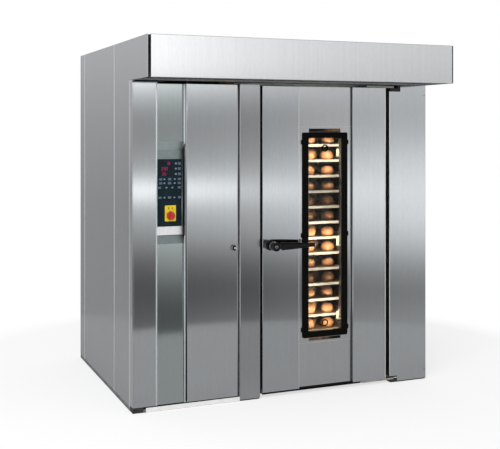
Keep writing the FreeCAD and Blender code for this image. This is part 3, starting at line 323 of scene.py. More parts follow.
def add_block(work, low, high):
    corners = []
    for z in (low[2], high[2]):
        for x, y in ((low[0], low[1]), (high[0], low[1]), (high[0], high[1]), (low[0], high[1])):
            corners.append(work.verts.new((x, y, z)))
    for side in ((3, 2, 1, 0), (4, 5, 6, 7), (0, 1, 5, 4), (1, 2, 6, 5), (2, 3, 7, 6), (3, 0, 4, 7)):
        work.faces.new([corners[index] for index in side])
    return corners


trim_edge = 0.0004


def blocks(name, boxes, material, body="cabinet", edge=trim_edge, rings=2):
    work = bmesh.new()
    for low, high in boxes:
        add_block(work, low, high)
    return show(mesh_of(work, name), material, body, edge, rings)


side_steel = brushed_steel("side_steel", (0.565, 0.585, 0.607), (0.587, 0.607, 0.63), gloss=(0.22, 0.26))
back_steel = brushed_steel("back_steel", (0.52, 0.53, 0.54), (0.55, 0.56, 0.57), gloss=(0.26, 0.32))
# Lip steel is paler than the sheets: a painted highlight on thin strips along folded edges, where the folds
# catch the light.
lip_painted_highlight = surface("lip_painted_highlight", (0.78, 0.8, 0.82), (0.86, 0.88, 0.9), grain=0.05, gloss=(0.3, 0.4),
                    dent=0.00005, Metallic=1.0)
# Dark sealant fills the seams, darker there as painted shade in the gaps; it is also painted shade in the
# door channel's corner and below the upper vent.
sealant_and_painted_shade = surface("seam_sealant_and_painted_shade", (0.03, 0.031, 0.033), (0.06, 0.062, 0.065), grain=0.02,
                  gloss=(0.5, 0.7), dent=0.0002)
sheet_sink = 0.0016
dress("left_side_panels", side_steel, shift=(sheet_sink, 0.0, 0.0))
dress("right_side_panels", side_steel, shift=(-sheet_sink, 0.0, 0.0))
dress("rear_panels", back_steel, shift=(0.0, -sheet_sink, 0.0))
left_low, left_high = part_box("left_side_panels")
right_low, right_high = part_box("right_side_panels")
rear_low, rear_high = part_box("rear_panels")
post_low, post_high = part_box("front_corner_post")
left_skin = left_low.x + sheet_sink
right_skin = right_high.x - sheet_sink
rear_skin = rear_high.y - sheet_sink
front_seam_y = -0.1341
rear_strip_w = 0.155
rear_seam_y = rear_high.y - rear_strip_w
seam_w = 0.002
seal_top = 0.0005
seal_root = 0.0015
lip_w = 0.007
lip_rise = 0.0014
lip_root = 0.0005
post_lip_w = 0.024
seals = [((-seam_w / 2, rear_skin - seal_root, rear_low.z),
          (seam_w / 2, rear_skin - seal_top, rear_high.z))]
lips = []
for seam_y in (front_seam_y, rear_seam_y):
    for skin, way in ((left_skin, -1.0), (right_skin, 1.0)):
        seal_x = sorted((skin - way * seal_root, skin - way * seal_top))
        seals.append(((seal_x[0], seam_y - seam_w, left_low.z), (seal_x[1], seam_y, left_high.z)))
        lip_x = sorted((skin - way * lip_root, skin + way * lip_rise))
        for y in (seam_y - seam_w - lip_w, seam_y):
            lips.append(((lip_x[0], y, left_low.z), (lip_x[1], y + lip_w, left_high.z)))
lips.append(((left_skin - lip_rise, left_low.y, left_low.z),
             (left_skin + lip_root, left_low.y + post_lip_w, post_high.z)))
blocks("seam_sealant_and_painted_shade", seals, sealant_and_painted_shade, edge=0.0002)
# Pale strips beside the seams and along the front corner: painted highlights.
blocks("seam_lips", lips, lip_painted_highlight, edge=0.0006, rings=3)

screw_r = 0.0045
screw_inset = 0.025
screw_sink = 0.0012
screw_rows = 10
screw_steps = 12
screw_outline = [(screw_r * rise, screw_r * width) for rise, width in (
    (0.0, 1.0), (0.35, 0.95), (0.6, 0.6), (0.6, 0.35), (0.2, 0.3), (0.2, 0.0))]


def screw_heads(name, places, out):
    work = bmesh.new()
    for spot in places:
        turned(work, screw_outline, Vector(spot), facing(out), screw_steps)
    show(mesh_of(work, name), side_steel, "cabinet")


def screw_line(low, high, count):
    pitch = (high - low - 2 * screw_inset) / (count - 1)
    return [low + screw_inset + index * pitch for index in range(count)]


rear_places = []
for z in screw_line(rear_low.z, rear_high.z, screw_rows):
    for x in (rear_low.x + screw_inset, -screw_inset, screw_inset, rear_high.x - screw_inset):
        rear_places.append((x, rear_skin - screw_sink, z))
screw_heads("rear_panel_screws", rear_places, (0.0, 1.0, 0.0))
right_places = []
for z in screw_line(right_low.z, right_high.z, screw_rows):
    for y in (right_low.y + screw_inset, front_seam_y + screw_inset, right_high.y - screw_inset):
        right_places.append((right_skin - screw_sink, y, z))
screw_heads("right_panel_screws", right_places, (1.0, 0.0, 0.0))


# Front posts: corner post, centre pillar, right pillar with its notches, the header beam, a kick strip.
# Stainless sheet folded into open boxes and bolted to the door frame behind them. The kick strip is
# painted pale and screwed to the rail between the corner foot and the pillar.

front_steel = brushed_steel("front_steel", (0.572, 0.595, 0.614), (0.584, 0.607, 0.626),
                            gloss=(0.115, 0.125))
pillar_steel = brushed_steel("pillar_steel", (0.43, 0.444, 0.456), (0.442, 0.456, 0.468),
                             gloss=(0.115, 0.125))
galvanised = surface("galvanised_sheet", (0.4, 0.41, 0.42), (0.48, 0.49, 0.5), grain=0.15,
                     gloss=(0.34, 0.5), dent=0.0001, Metallic=1.0)
zinc_tree = galvanised.node_tree
zinc_crystals = add_node(zinc_tree, "TexVoronoi", {"Vector": place_on(zinc_tree), "Scale": 60.0})
zinc_level = add_node(zinc_tree, "SeparateColor", {"Color": zinc_crystals.outputs["Color"]})
tint(zinc_tree, ranged(zinc_tree, zinc_level.outputs[0], low=0.78, high=1.12))
paint(zinc_tree, Roughness=ranged(zinc_tree, zinc_level.outputs[1], low=0.3, high=0.5))
dress("front_corner_post", front_steel, rings=4, fold=0.004, foot_lift=front_lift)
dress("centre_pillar", pillar_steel, rings=4, fold=0.004)
dress("right_pillar", front_steel, rings=4, fold=0.004)
coat(galvanised, "front_header")

edge_lip_w = 0.006
edge_lip_out = 0.0006
bond = 0.0002


def edge_lip(x0, x1, y, z0, z1):
    return ((x0, y - edge_lip_out, z0), (x1, y + edge_lip_out, z1))


right_pillar_low, right_pillar_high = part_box("right_pillar")
top_notch_h = 0.06
foot_notch_h = 0.05
pillar_lip = edge_lip(right_pillar_low.x, right_pillar_low.x + edge_lip_w, right_pillar_low.y,
                      right_pillar_low.z + foot_notch_h, right_pillar_high.z - top_notch_h)
# A pale strip along the right pillar's edge: painted highlight.
blocks("right_pillar_lip", [pillar_lip], lip_painted_highlight)
edge_grey = surface("gap_edge_grey", (0.26, 0.27, 0.28), (0.34, 0.35, 0.36), grain=0.03,
                    gloss=(0.5, 0.65), dent=0.0001)
pillar_low, pillar_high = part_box("centre_pillar")
gap_edge_t = 0.0008
gap_edge_y0 = 0.005
gap_edge_y1 = 0.036
gap_edge_foot = 0.02
blocks("gap_edge", [((pillar_low.x - gap_edge_t, pillar_low.y + gap_edge_y0, pillar_low.z + gap_edge_foot),
                     (pillar_low.x + bond, pillar_low.y + gap_edge_y1, pillar_high.z))],
       edge_grey, edge=0.0002)
kick_paint = surface("kick_paint", (0.72, 0.72, 0.71), (0.8, 0.8, 0.79), grain=0.05, gloss=(0.4, 0.55),
                     dent=0.0002)
corner_foot_w = 0.09
kick_end = 0.001
kick_foot = 0.001
kick_top = 0.0295
kick_t = 0.0012
kick_bond = 0.0004
kick_y = pillar_low.y + 0.003
blocks("kick_strip", [((post_low.x + corner_foot_w, kick_y - kick_t, kick_foot),
                       (pillar_low.x - kick_end, kick_y + kick_bond, kick_top))], kick_paint, edge=0.0003)


# Control column: a flat strip, and beside it a channel with a pocket for the control board.
# Folded stainless sheet with pale strips along the edges, which are painted highlights. Thin plates line
# the pocket above and below the board in darker and paler tones of one steel, as painted shade and painted
# light, a face sheet that leans a little closes the foot, and a black strip along the pocket's side is
# painted shade.

channel_steel = brushed_steel("channel_steel", (0.495, 0.55, 0.545), (0.507, 0.562, 0.557),
                              gloss=(0.12, 0.13))
strip_low, strip_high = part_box("control_strip")
column_low, column_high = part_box("control_channel")
board_low, board_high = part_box("control_board")
column_foot = column_low.z + front_lift
dress("control_strip", front_steel, rings=4, fold=0.004, foot_lift=front_lift)
dress("control_channel", channel_steel, edge=0.0006, crease=12, foot_lift=front_lift)
strip_lip_w = 0.009
jamb_t = 0.0025
jamb_lip_w = 0.008
door_clear = 0.0042
jamb_x1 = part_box("service_door")[0].x - door_clear
jamb_x0 = jamb_x1 - jamb_lip_w
strip_lip = edge_lip(strip_high.x - strip_lip_w, strip_high.x, strip_low.y, column_foot, strip_high.z)
jamb_lip = ((jamb_x0, strip_low.y + edge_lip_out, column_foot),
            (jamb_x1, column_low.y + edge_lip_out, column_high.z))
# Pale strips along the control strip's edge and the jamb: painted highlights.
blocks("column_lips", [strip_lip, jamb_lip], lip_painted_highlight)


def pocket_plate(name, x, y, z, material, foot_lean=0.0, head_lean=0.0, edge=trim_edge):
    work = bmesh.new()
    corners = add_block(work, (x[0], y[0], z[0]), (x[1], y[1], z[1]))
    for corner in corners[:4]:
        corner.co.y += foot_lean
    for corner in corners[4:]:
        corner.co.y += head_lean
    show(mesh_of(work, name), material, "cabinet", edge)


def pocket_tone(name, dark, light):
    return surface(name, dark, light, grain=0.04, gloss=(0.36, 0.44), dent=0.00005, Metallic=1.0)


ledge_steel = brushed_steel("ledge_steel", (0.7, 0.71, 0.72), (0.76, 0.77, 0.78), gloss=(0.3, 0.36))
# One steel in three tones: the foot and the wall darker as painted shade, the head paler as painted light.
foot_painted_shade = pocket_tone("pocket_foot_painted_shade", (0.42, 0.51, 0.51), (0.48, 0.57, 0.57))
wall_painted_shade = pocket_tone("pocket_wall_painted_shade", (0.27, 0.325, 0.325), (0.31, 0.365, 0.365))
head_painted_light = pocket_tone("pocket_head_painted_light", (0.5, 0.59, 0.59), (0.56, 0.65, 0.65))
face_steel = brushed_steel("face_steel", (0.47, 0.53, 0.52), (0.482, 0.542, 0.532), gloss=(0.12, 0.13))
plate_t = 0.0012
plate_gap = 0.0005
jamb_gap = 0.001
plate_back = board_high.y - plate_gap
plate_x = (strip_high.x + plate_gap, column_high.x - jamb_t - jamb_gap)
plate_y = (plate_back - plate_t, plate_back)
pocket_depth = 0.025
ledge_x = (board_low.x - 0.005, board_high.x + 0.005)
ledge_y = (board_high.y - 0.003, plate_back)
ledge_top = board_low.z - 0.002
ledge_h = 0.056
ledge_lean = 0.006
foot_top = ledge_top - ledge_h
foot_h = 0.055
face_top = foot_top - foot_h
face_y = (plate_y[0] - pocket_depth, plate_back - pocket_depth)
face_lean = 0.0145
wall_foot = board_high.z + 0.001
head_z = board_high.z + 0.061
head_h = 0.057
pocket_plate("board_ledge", ledge_x, ledge_y, (foot_top, ledge_top), ledge_steel, foot_lean=-ledge_lean,
             edge=0.001)
pocket_plate("pocket_foot", plate_x, plate_y, (face_top, foot_top), foot_painted_shade, foot_lean=-pocket_depth)
pocket_plate("pocket_wall", plate_x, plate_y, (wall_foot, head_z), wall_painted_shade)
pocket_plate("pocket_head", plate_x, plate_y, (head_z, head_z + head_h), head_painted_light,
             head_lean=-pocket_depth)
pocket_plate("column_face", plate_x, face_y, (column_foot, face_top), face_steel, foot_lean=-face_lean)

# Black trim also serves as painted shade: a strip along the pocket's side and a cover over the jamb lip's
# edge.
black_trim_and_painted_shade = surface("black_trim_and_painted_shade", (0.004, 0.005, 0.006), (0.01, 0.011, 0.013), grain=0.02,
                     gloss=(0.35, 0.55), dent=0.0003, Specular_IOR_Level=0.04)
pocket_shade_x = column_high.x - 0.0015
pocket_shade_t = 0.002
pocket_shade_y = column_low.y + 0.001
pocket_shade_top = board_high.z + 0.112
pocket_shade_taper = 0.05
cover_w = 0.005
cover_y = strip_low.y + 0.0001
cover_foot = foot_top - 0.004
cover_top = pocket_shade_top - 0.01
# The tapered strip along the pocket's side and the cover on the jamb lip are painted shade.
work = bmesh.new()
pocket_shade_corners = add_block(work, (pocket_shade_x - pocket_shade_t, pocket_shade_y, foot_top - pocket_shade_taper),
                 (pocket_shade_x - bond, board_high.y, pocket_shade_top))
for corner in pocket_shade_corners[2:4]:
    corner.co.z += pocket_shade_taper
for corner in pocket_shade_corners[6:8]:
    corner.co.z -= pocket_shade_taper
add_block(work, (jamb_x0, cover_y, cover_foot), (jamb_x0 + cover_w, column_low.y, cover_top))
show(mesh_of(work, "pocket_painted_shade"), black_trim_and_painted_shade, "cabinet", edge=0.0005)


# Control board: two dark blue plates with a membrane of display windows and keys.
# Painted sheet with a printed film. The digits glow behind smoked windows, and the keys are pale or
# dim prints on slightly raised pads.

navy = surface("navy_board", (0.0055, 0.0145, 0.02), (0.009, 0.02, 0.028), grain=0.05, gloss=(0.3, 0.42),
               dent=0.0001, Specular_IOR_Level=0.1)
dress("control_board", navy, edge=0.0004)
joint_z = board_low.z + 0.175
joint_half_h = 0.006
joint_inset = 0.001
joint_sink = 0.0012
blocks("board_joint", [((board_low.x + joint_inset, board_low.y + joint_sink, joint_z - joint_half_h),
                        (board_high.x - joint_inset, board_high.y, joint_z + joint_half_h))],
       black_trim_and_painted_shade, edge=0.0003)
smoked = surface("smoked_window", (0.004, 0.006, 0.009), (0.008, 0.009, 0.013), grain=0.02,
                 gloss=(0.1, 0.16), dent=0.00005, Specular_IOR_Level=0.2)
pale_print = surface("pale_key_print", (0.15, 0.2, 0.26), (0.23, 0.29, 0.36), grain=0.01, gloss=(0.4, 0.5),
                     dent=0.0001)
dim_print = surface("dim_key_print", (0.06, 0.1, 0.145), (0.095, 0.145, 0.2), grain=0.01, gloss=(0.4, 0.5),
                    dent=0.0001)


def glowing(name, dark, light, strength, **finish):
    material = surface(name, dark, light, Emission_Strength=strength, **finish)
    paint(material.node_tree, Emission_Color=base_colour(material.node_tree))
    return material


red_glow = glowing("red_digit_glow", (0.27, 0.004, 0.085), (0.38, 0.008, 0.13), strength=0.2, grain=0.005,
                   gloss=(0.3, 0.4), dent=0.00005)
print_root = 0.0005
window_out = 0.0006
digit_out = 0.0009
key_out = 0.0014


def on_board(from_left, drop, size, out):
    x = board_low.x + from_left
    z = board_high.z - drop
    return ((x - size[0] / 2, board_low.y - out, z - size[1] / 2),
            (x + size[0] / 2, board_low.y + print_root, z + size[1] / 2))


window_size = (0.09, 0.022)
step_key_size = (0.012, 0.011)
set_key_size = (0.02, 0.018)
pale_key_size = (0.011, 0.009)
dim_key_size = (0.022, 0.015)
window_x = 0.064
step_key_x = 0.134
set_key_x = 0.158
display_drops = (0.028, 0.062, 0.096)
windows = []
pale_keys = []
dim_keys = []
for drop in display_drops:
    windows.append(on_board(window_x, drop, window_size, window_out))
    pale_keys.append(on_board(step_key_x, drop, step_key_size, key_out))
    dim_keys.append(on_board(set_key_x, drop, set_key_size, key_out))
for drop, pale, dim in ((0.130, (0.056, 0.126), (0.03, 0.091, 0.158)),
                        (0.156, (0.056, 0.126), (0.03, 0.091, 0.158)),
                        (0.185, (0.070, 0.110), (0.022, 0.158)),
                        (0.250, (0.056, 0.124), (0.026, 0.091, 0.16))):
    for from_left in pale:
        pale_keys.append(on_board(from_left, drop, pale_key_size, key_out))
    for from_left in dim:
        dim_keys.append(on_board(from_left, drop, dim_key_size, key_out))
key_piece = blocks("pale_keys", pale_keys, pale_print, edge=0.0005)
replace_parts(key_piece, "display_and_keys")
blocks("dim_keys", dim_keys, dim_print, edge=0.0005)
blocks("display_windows", windows, smoked, edge=0.0003)

lit_bars = {"0": "abcdef", "1": "bc", "2": "abged", "3": "abgcd", "5": "afgcd", "8": "abcdefg"}
bar_places = {"a": (0.0, 1.0, False), "g": (0.0, 0.0, False), "d": (0.0, -1.0, False),
              "f": (-1.0, 0.5, True), "b": (1.0, 0.5, True), "e": (-1.0, -0.5, True),
              "c": (1.0, -0.5, True)}
digit_w = 0.0095
digit_h = 0.0165
digit_gap = 0.005
bar_t = 0.0026
bars = []
for digits, first, drop in zip(("18", "230", "25"), (0.074, 0.042, 0.046), display_drops):
    for index, digit in enumerate(digits):
        for bar in lit_bars[digit]:
            side, level, upright = bar_places[bar]
            from_left = first + index * (digit_w + digit_gap) + side * digit_w / 2
            size = (bar_t, digit_h / 2) if upright else (digit_w, bar_t)
            bars.append(on_board(from_left, drop - level * digit_h / 2, size, digit_out))
blocks("display_digits", bars, red_glow, edge=0.0002)


# Main switch: a yellow plate with a red quarter-turn knob on a shaft through it.
# Both are moulded plastic. The knob is a bevelled disc with a raised grip bar, and the plate carries
# two plain printed bars.

yellow = surface("yellow_plate", (0.66, 0.47, 0.008), (0.74, 0.54, 0.014), grain=0.02, gloss=(0.25, 0.38),
                 dent=0.0001)
red = surface("red_knob", (0.4, 0.011, 0.013), (0.5, 0.019, 0.022), grain=0.015, gloss=(0.22, 0.34),
              dent=0.0001, Coat_Weight=0.3)
dress("main_switch_plate", yellow, edge=0.001)
dress("main_switch_knob", red, edge=0.0015, rings=3)
plate_low, plate_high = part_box("main_switch_plate")
mark_x = (plate_low.x + plate_high.x) / 2
mark_z = plate_high.z - 0.018
mark_apart = 0.012
mark_half_w = 0.0022
mark_half_h = 0.007
mark_out = 0.0004
marks = []
for x in (mark_x - mark_apart, mark_x + mark_apart):
    marks.append(((x - mark_half_w, plate_low.y - mark_out, mark_z - mark_half_h),
                  (x + mark_half_w, plate_low.y + print_root, mark_z + mark_half_h)))
blocks("switch_plate_marks", marks, black_trim_and_painted_shade, edge=0.0002)


# Service door: a tall folded tray of brushed stainless on two pins, with a small wing lock.
# The lock is black lacquered steel with a bright collar, held by a bright cap screw.

chrome = surface("chrome_fittings", (0.72, 0.73, 0.74), (0.82, 0.83, 0.84), grain=0.02, gloss=(0.06, 0.14),
                 dent=0.00003, Metallic=1.0)
lacquer = surface("black_lacquer", (0.004, 0.004, 0.005), (0.01, 0.01, 0.011), grain=0.03,
                  gloss=(0.18, 0.28), dent=0.0001, Specular_IOR_Level=0.2)
service_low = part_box("service_door")[0]
dress("service_door", front_steel, rings=6, fold=0.008, foot_lift=front_lift)
dress("service_lock", lacquer, edge=0.002, rings=3)
towards_front = (0.0, -1.0, 0.0)


def turned_piece(name, outline, centre, along, steps, body, material=chrome):
    work = bmesh.new()
    turned(work, outline, Vector(centre), facing(along), steps)
    return show(mesh_of(work, name), material, body)


lock_low, lock_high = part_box("service_lock")
lock_x = (lock_low.x + lock_high.x) / 2
lock_half_h = 0.02
lock_rose_t = 0.01
lock_z = lock_high.z - lock_half_h
collar = [(0.0, 0.0155), (0.0, 0.0195), (0.0015, 0.019), (0.0022, 0.0175), (0.0015, 0.0155)]
turned_piece("lock_collar", collar, (lock_x, service_low.y - lock_rose_t, lock_z), towards_front, steps=28,
             body="service_lock")
cap_screw = [(-0.001, 0.0075), (0.0, 0.0072), (0.0012, 0.006), (0.0018, 0.003), (0.002, 0.0)]
turned_piece("lock_cap_screw", cap_screw, (lock_x, lock_low.y, lock_z), towards_front, steps=24,
             body="service_lock")


# Door frame behind the main door, and the keepers of both latches.
# Plain stainless bar welded to the header, with bright steel keepers screwed on.

inner_steel = surface("inner_steel", (0.4, 0.38, 0.35), (0.56, 0.54, 0.5), grain=0.09, gloss=(0.3, 0.45),
                      dent=0.0001, Metallic=1.0)
coat(inner_steel, "door_frame")
dress("latch_keepers", chrome, edge=0.001)


# Hinges: flat arms on the door turn on pins in black blocks set in the right pillar's notches.
# The arms are stainless flat bar, and the blocks are cast and painted. The foot hinge sits as high
# above the floor as the door's lower edge.

block_paint = surface("black_block_paint", (0.01, 0.01, 0.01), (0.03, 0.03, 0.03), grain=0.02,
                      gloss=(0.35, 0.55), dent=0.0004)
arms = dress("hinge_arms", inner_steel, edge=0.0015)
hinges = dress("hinge_blocks", block_paint, edge=0.0015)
# The main door ends this much above its solid, and the foot hinge follows it
door_lift = 0.012
foot_hinge_h = 0.05
for vertex in arms.data.vertices:
    if vertex.co.z < foot_hinge_h:
        vertex.co.z += door_lift
for vertex in hinges.data.vertices:
    if edge_reach < vertex.co.z < foot_hinge_h and vertex.co.x > 0:
        vertex.co.z += door_lift


# Main door: two raised strips with a sunk channel between them, wool core and inner liner.
# Brushed stainless outside and plain stainless inside, the inside darkened as painted shade. Pale strips
# along the strips' edges are painted highlights, and a dark bead in the corner of the channel is painted
# shadow. A thin plate surrounds the window, with pale strips along its edges as painted highlights.

door_channel_steel = brushed_steel("door_channel_steel", (0.56, 0.57, 0.58), (0.572, 0.582, 0.592),
                                   gloss=(0.12, 0.13))
door_steel = brushed_steel("door_steel", (0.525, 0.547, 0.565), (0.537, 0.559, 0.577), gloss=(0.115, 0.125))
# The liner is darker than plain stainless: painted shade inside the door and on the window's reveal.
liner_steel = surface("liner_steel", (0.1, 0.092, 0.085), (0.2, 0.188, 0.175), grain=0.08,
                      gloss=(0.32, 0.46), dent=0.0001, Metallic=1.0)
wool_and_painted_shade = surface("wool_and_painted_shade", (0.1, 0.05, 0.022), (0.42, 0.22, 0.09), grain=0.03, gloss=(0.8, 0.95),
                      dent=0.002)
# The wool darkens in two opposite quarters round the window's middle: painted shade in the vent slots, over
# the wool's own patches.
wool_shade_middle = (0.31, 0.0, 1.1)
wool_shade_tree = wool_and_painted_shade.node_tree
wool_shade_offset = add_node(wool_shade_tree, "VectorMath", {0: place_on(wool_shade_tree), 1: wool_shade_middle},
                        operation="SUBTRACT")
wool_shade_parts = add_node(wool_shade_tree, "SeparateXYZ", {"Vector": wool_shade_offset.outputs[0]})
wool_shade_turn = maths(wool_shade_tree, "MULTIPLY", wool_shade_parts.outputs["X"], wool_shade_parts.outputs["Z"])
tint(wool_shade_tree, ranged(wool_shade_tree, wool_shade_turn, -0.035, 0.03, low=0.03))
right_strip_low, right_strip_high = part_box("door_right_strip")
left_strip_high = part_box("door_left_strip")[1]
channel_low, channel_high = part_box("door_channel")
gasket_low, gasket_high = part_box("window_gasket")
door_foot = right_strip_low.z + door_lift
dress("door_left_strip", door_steel, rings=3, fold=0.003, foot_lift=door_lift)
dress("door_right_strip", front_steel, rings=3, fold=0.002, foot_lift=door_lift)
inner_lip_w = 0.0026
door_lips = []
for lip_x1, width in ((right_strip_high.x, edge_lip_w), (left_strip_high.x, inner_lip_w)):
    door_lips.append(edge_lip(lip_x1 - width, lip_x1, right_strip_low.y, door_foot, right_strip_high.z))
# Pale strips along the door strips' edges: painted highlights.
blocks("door_edge_lips", door_lips, lip_painted_highlight, body="door")
# A dark bead along the channel's corner: painted shadow of the raised strip's return.
channel_shadow_t = 0.0009
channel_shadow_inset = 0.0012
channel_shadow_y = right_strip_low.y + 0.011
blocks("channel_painted_shadow", [((right_strip_low.x - channel_shadow_t, channel_shadow_y, door_foot + channel_shadow_inset),
                         (right_strip_low.x + bond, right_strip_high.y - channel_shadow_inset,
                          right_strip_high.z - channel_shadow_inset))],
       sealant_and_painted_shade, body="door", edge=0.0002)
dress("door_channel", door_channel_steel, edge=0.0008, foot_lift=door_lift)
coat(wool_and_painted_shade, "door_core")
coat(liner_steel, "door_liner")
surround_rise = 0.046
surround_t = 0.0012
surround_root = 0.0005
surround_inset = 0.003
surround_x0 = channel_low.x + surround_inset
surround_x1 = channel_high.x - surround_inset
surround_z0 = gasket_low.z - surround_rise
surround_z1 = gasket_high.z + surround_rise
surround_y = channel_low.y - surround_t
mid_x = (channel_low.x + channel_high.x) / 2
vent_w = 0.245
vent_clear = 0.003
vent_band = 0.034
vent_x0 = mid_x - vent_w / 2 - vent_clear
vent_x1 = mid_x + vent_w / 2 + vent_clear
surround = []
for x0, x1, z0, z1 in ((surround_x0, vent_x0, surround_z0, surround_z1),
                       (vent_x1, surround_x1, surround_z0, surround_z1),
                       (vent_x0, vent_x1, gasket_high.z + vent_band, surround_z1),
                       (vent_x0, vent_x1, surround_z0, gasket_low.z - vent_band)):
    surround.append(((x0, surround_y, z0), (x1, channel_low.y + surround_root, z1)))
blocks("window_surround", surround, door_channel_steel, body="door")
surround_lip_h = 0.0016
surround_lips = []
for z in (surround_z0, surround_z1 - surround_lip_h):
    surround_lips.append(edge_lip(surround_x0, surround_x1, surround_y, z, z + surround_lip_h))
# Pale strips along the surround's top and bottom: painted highlights.
blocks("surround_lips", surround_lips, lip_painted_highlight, body="door")


# Window: two panes in a black rubber gasket with clip tabs, two black rings, three warm lamps.
# Toughened glass. The lamps sit in ceramic holders on the right-hand reveal between the panes. A dark strip
# between the gasket and the upper vent is painted shade, so that the vent's shaded slot reaches down to the
# gasket.

glass = surface("window_glass", (0.9, 0.93, 0.92), (0.97, 0.98, 0.97), grain=0.2, gloss=(0.0, 0.03),
                dent=0.00002, Transmission_Weight=1.0, IOR=1.15)
rubber = surface("black_rubber", (0.0018, 0.0018, 0.0015), (0.005, 0.005, 0.0045), grain=0.012,
                 gloss=(0.42, 0.6), dent=0.0003, Specular_IOR_Level=0.03)
ceramic = surface("lamp_ceramic", (0.62, 0.58, 0.5), (0.75, 0.72, 0.65), grain=0.01, gloss=(0.3, 0.5),
                  dent=0.0002)
lamp_glow = glowing("lamp_glow", (1.0, 0.76, 0.44), (1.0, 0.84, 0.56), strength=1.3, grain=0.01,
                    gloss=(0.1, 0.2), dent=0.0001)
coat(glass, "window_panes")
gasket = dress("window_gasket", rubber, edge=0.004, rings=3)
gasket_foot = 0.0085
gasket_head = 0.005
lift_edge(gasket, gasket_low.z, -gasket_foot)
lift_edge(gasket, gasket_high.z, gasket_head)
# A dark strip between the gasket and the upper vent: painted shade that lengthens the vent's shaded slot.
vent_painted_shade_t = 0.0015
vent_painted_shade_z0 = gasket_high.z + 0.004
vent_painted_shade_z1 = gasket_high.z + 0.0128
blocks("vent_painted_shade", [((vent_x0 + vent_clear, channel_low.y - vent_painted_shade_t, vent_painted_shade_z0),
                      (vent_x1 - vent_clear, channel_low.y + surround_root, vent_painted_shade_z1))],
       sealant_and_painted_shade, body="door")
dress("window_rings", rubber, edge=0.002, rings=3)
dress("lamp_holders", ceramic, edge=0.002)
coat(lamp_glow, "lamp_bulbs")


# Door seal: a rubber bead round the inner face of the door, and a sweep under it on a black carrier.
# Extruded silicone pressed into the liner's edge, with the carrier screwed up under the sunk channel.

seal = dress("door_seal", rubber, edge=0.003, rings=3)
sweep_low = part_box("door_seal")[0]
sweep_lift = 0.018
lift_edge(seal, channel_low.z, door_lift)
lift_edge(seal, sweep_low.z, sweep_lift)
carrier_h = 0.0035
carrier_y0 = sweep_low.y + 0.003
carrier_y1 = channel_low.y + 0.004
carrier_top = door_foot - 0.0006
blocks("sweep_carrier", [((channel_low.x, carrier_y0, carrier_top - carrier_h),
                          (channel_high.x, carrier_y1, carrier_top))],
       black_trim_and_painted_shade, body="door")


# Lever handle: a hub on a spindle through the door with the latch tongue, and a tapered grip.
# Cast and lacquered black, with a bright collar and a dark steel cap nut. The grip is moulded round a
# steel core and ends in a bright ring.

grip_black = surface("black_grip", (0.004, 0.004, 0.004), (0.01, 0.01, 0.01), grain=0.015,
                     gloss=(0.26, 0.4), dent=0.0002, Specular_IOR_Level=0.14)
cap_steel = surface("dark_cap_steel", (0.13, 0.13, 0.135), (0.2, 0.2, 0.205), grain=0.02, gloss=(0.1, 0.2),
                    dent=0.00003, Metallic=1.0)
dress("handle_hub", lacquer, edge=0.004, rings=3)
hub_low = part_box("handle_hub")[0]
grip_low, grip_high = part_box("handle_grip")
hub_r = 0.035
hub_x = hub_low.x + hub_r
handle_z = (grip_low.z + grip_high.z) / 2
grip_y = (grip_low.y + grip_high.y) / 2
grip_l = grip_high.x - grip_low.x
root_r = (grip_high.z - grip_low.z) / 2
along_door = (1.0, 0.0, 0.0)
grip_outline = [(0.0, 0.0), (0.0, root_r * 0.86), (0.006, root_r), (0.022, root_r * 0.99),
                (0.03, root_r * 0.9), (0.036, root_r * 0.95), (grip_l * 0.45, root_r * 0.8),
                (grip_l * 0.75, root_r * 0.62), (grip_l - 0.016, root_r * 0.5),
                (grip_l - 0.006, root_r * 0.38), (grip_l - 0.001, root_r * 0.18), (grip_l, 0.0)]
grip = turned_piece("handle_grip_moulding", grip_outline, (grip_low.x, grip_y, handle_z), along_door,
                    steps=40, body="handle", material=grip_black)
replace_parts(grip, "handle_grip")
tip_x = grip_high.x - 0.018
tip = [(0.0, root_r * 0.4), (0.0, root_r * 0.56), (0.002, root_r * 0.58), (0.007, root_r * 0.54),
       (0.008, root_r * 0.4)]
turned_piece("grip_tip_ring", tip, (tip_x, grip_y, handle_z), along_door, steps=32, body="handle")
cap = [(-0.006, 0.0265), (-0.003, 0.0255), (0.0, 0.022), (0.0, 0.0185), (-0.0025, 0.0175),
       (-0.0025, 0.0135), (0.0, 0.0125), (0.0018, 0.009), (0.0024, 0.0045), (0.0025, 0.0)]
turned_piece("handle_cap", cap, (hub_x, hub_low.y, handle_z), towards_front, steps=32, body="handle",
             material=cap_steel)
ring_y = hub_low.y + 0.05
ring = [(0.0, 0.0225), (0.0, 0.0305), (0.004, 0.0315), (0.008, 0.0305), (0.008, 0.0225)]
turned_piece("handle_collar", ring, (hub_x, ring_y, handle_z), towards_front, steps=32, body="handle")


# Hood: fascia, cheeks, top sheet, and a slotted underside that draws off the steam.
# Brushed stainless folded at every edge. The underside is dark galvanised sheet.

hood_steel = brushed_steel("hood_steel", (0.63, 0.64, 0.652), (0.65, 0.66, 0.672), gloss=(0.15, 0.18))
hood_dark = surface("hood_underside_sheet", (0.05, 0.05, 0.048), (0.1, 0.1, 0.096), grain=0.05,
                    gloss=(0.4, 0.6), dent=0.0003, Metallic=1.0)
dress("hood_fascia", hood_steel, rings=4, fold=0.003)
dress("hood_cheeks", side_steel)
coat(hood_steel, "hood_top")
coat(hood_dark, "hood_underside")


# Baking chamber: steel walls with air slots, insulation slabs and the steam troughs.
# Plain stainless sheet browned by heat and darkened further as painted shade, wrapped in pressed wool.

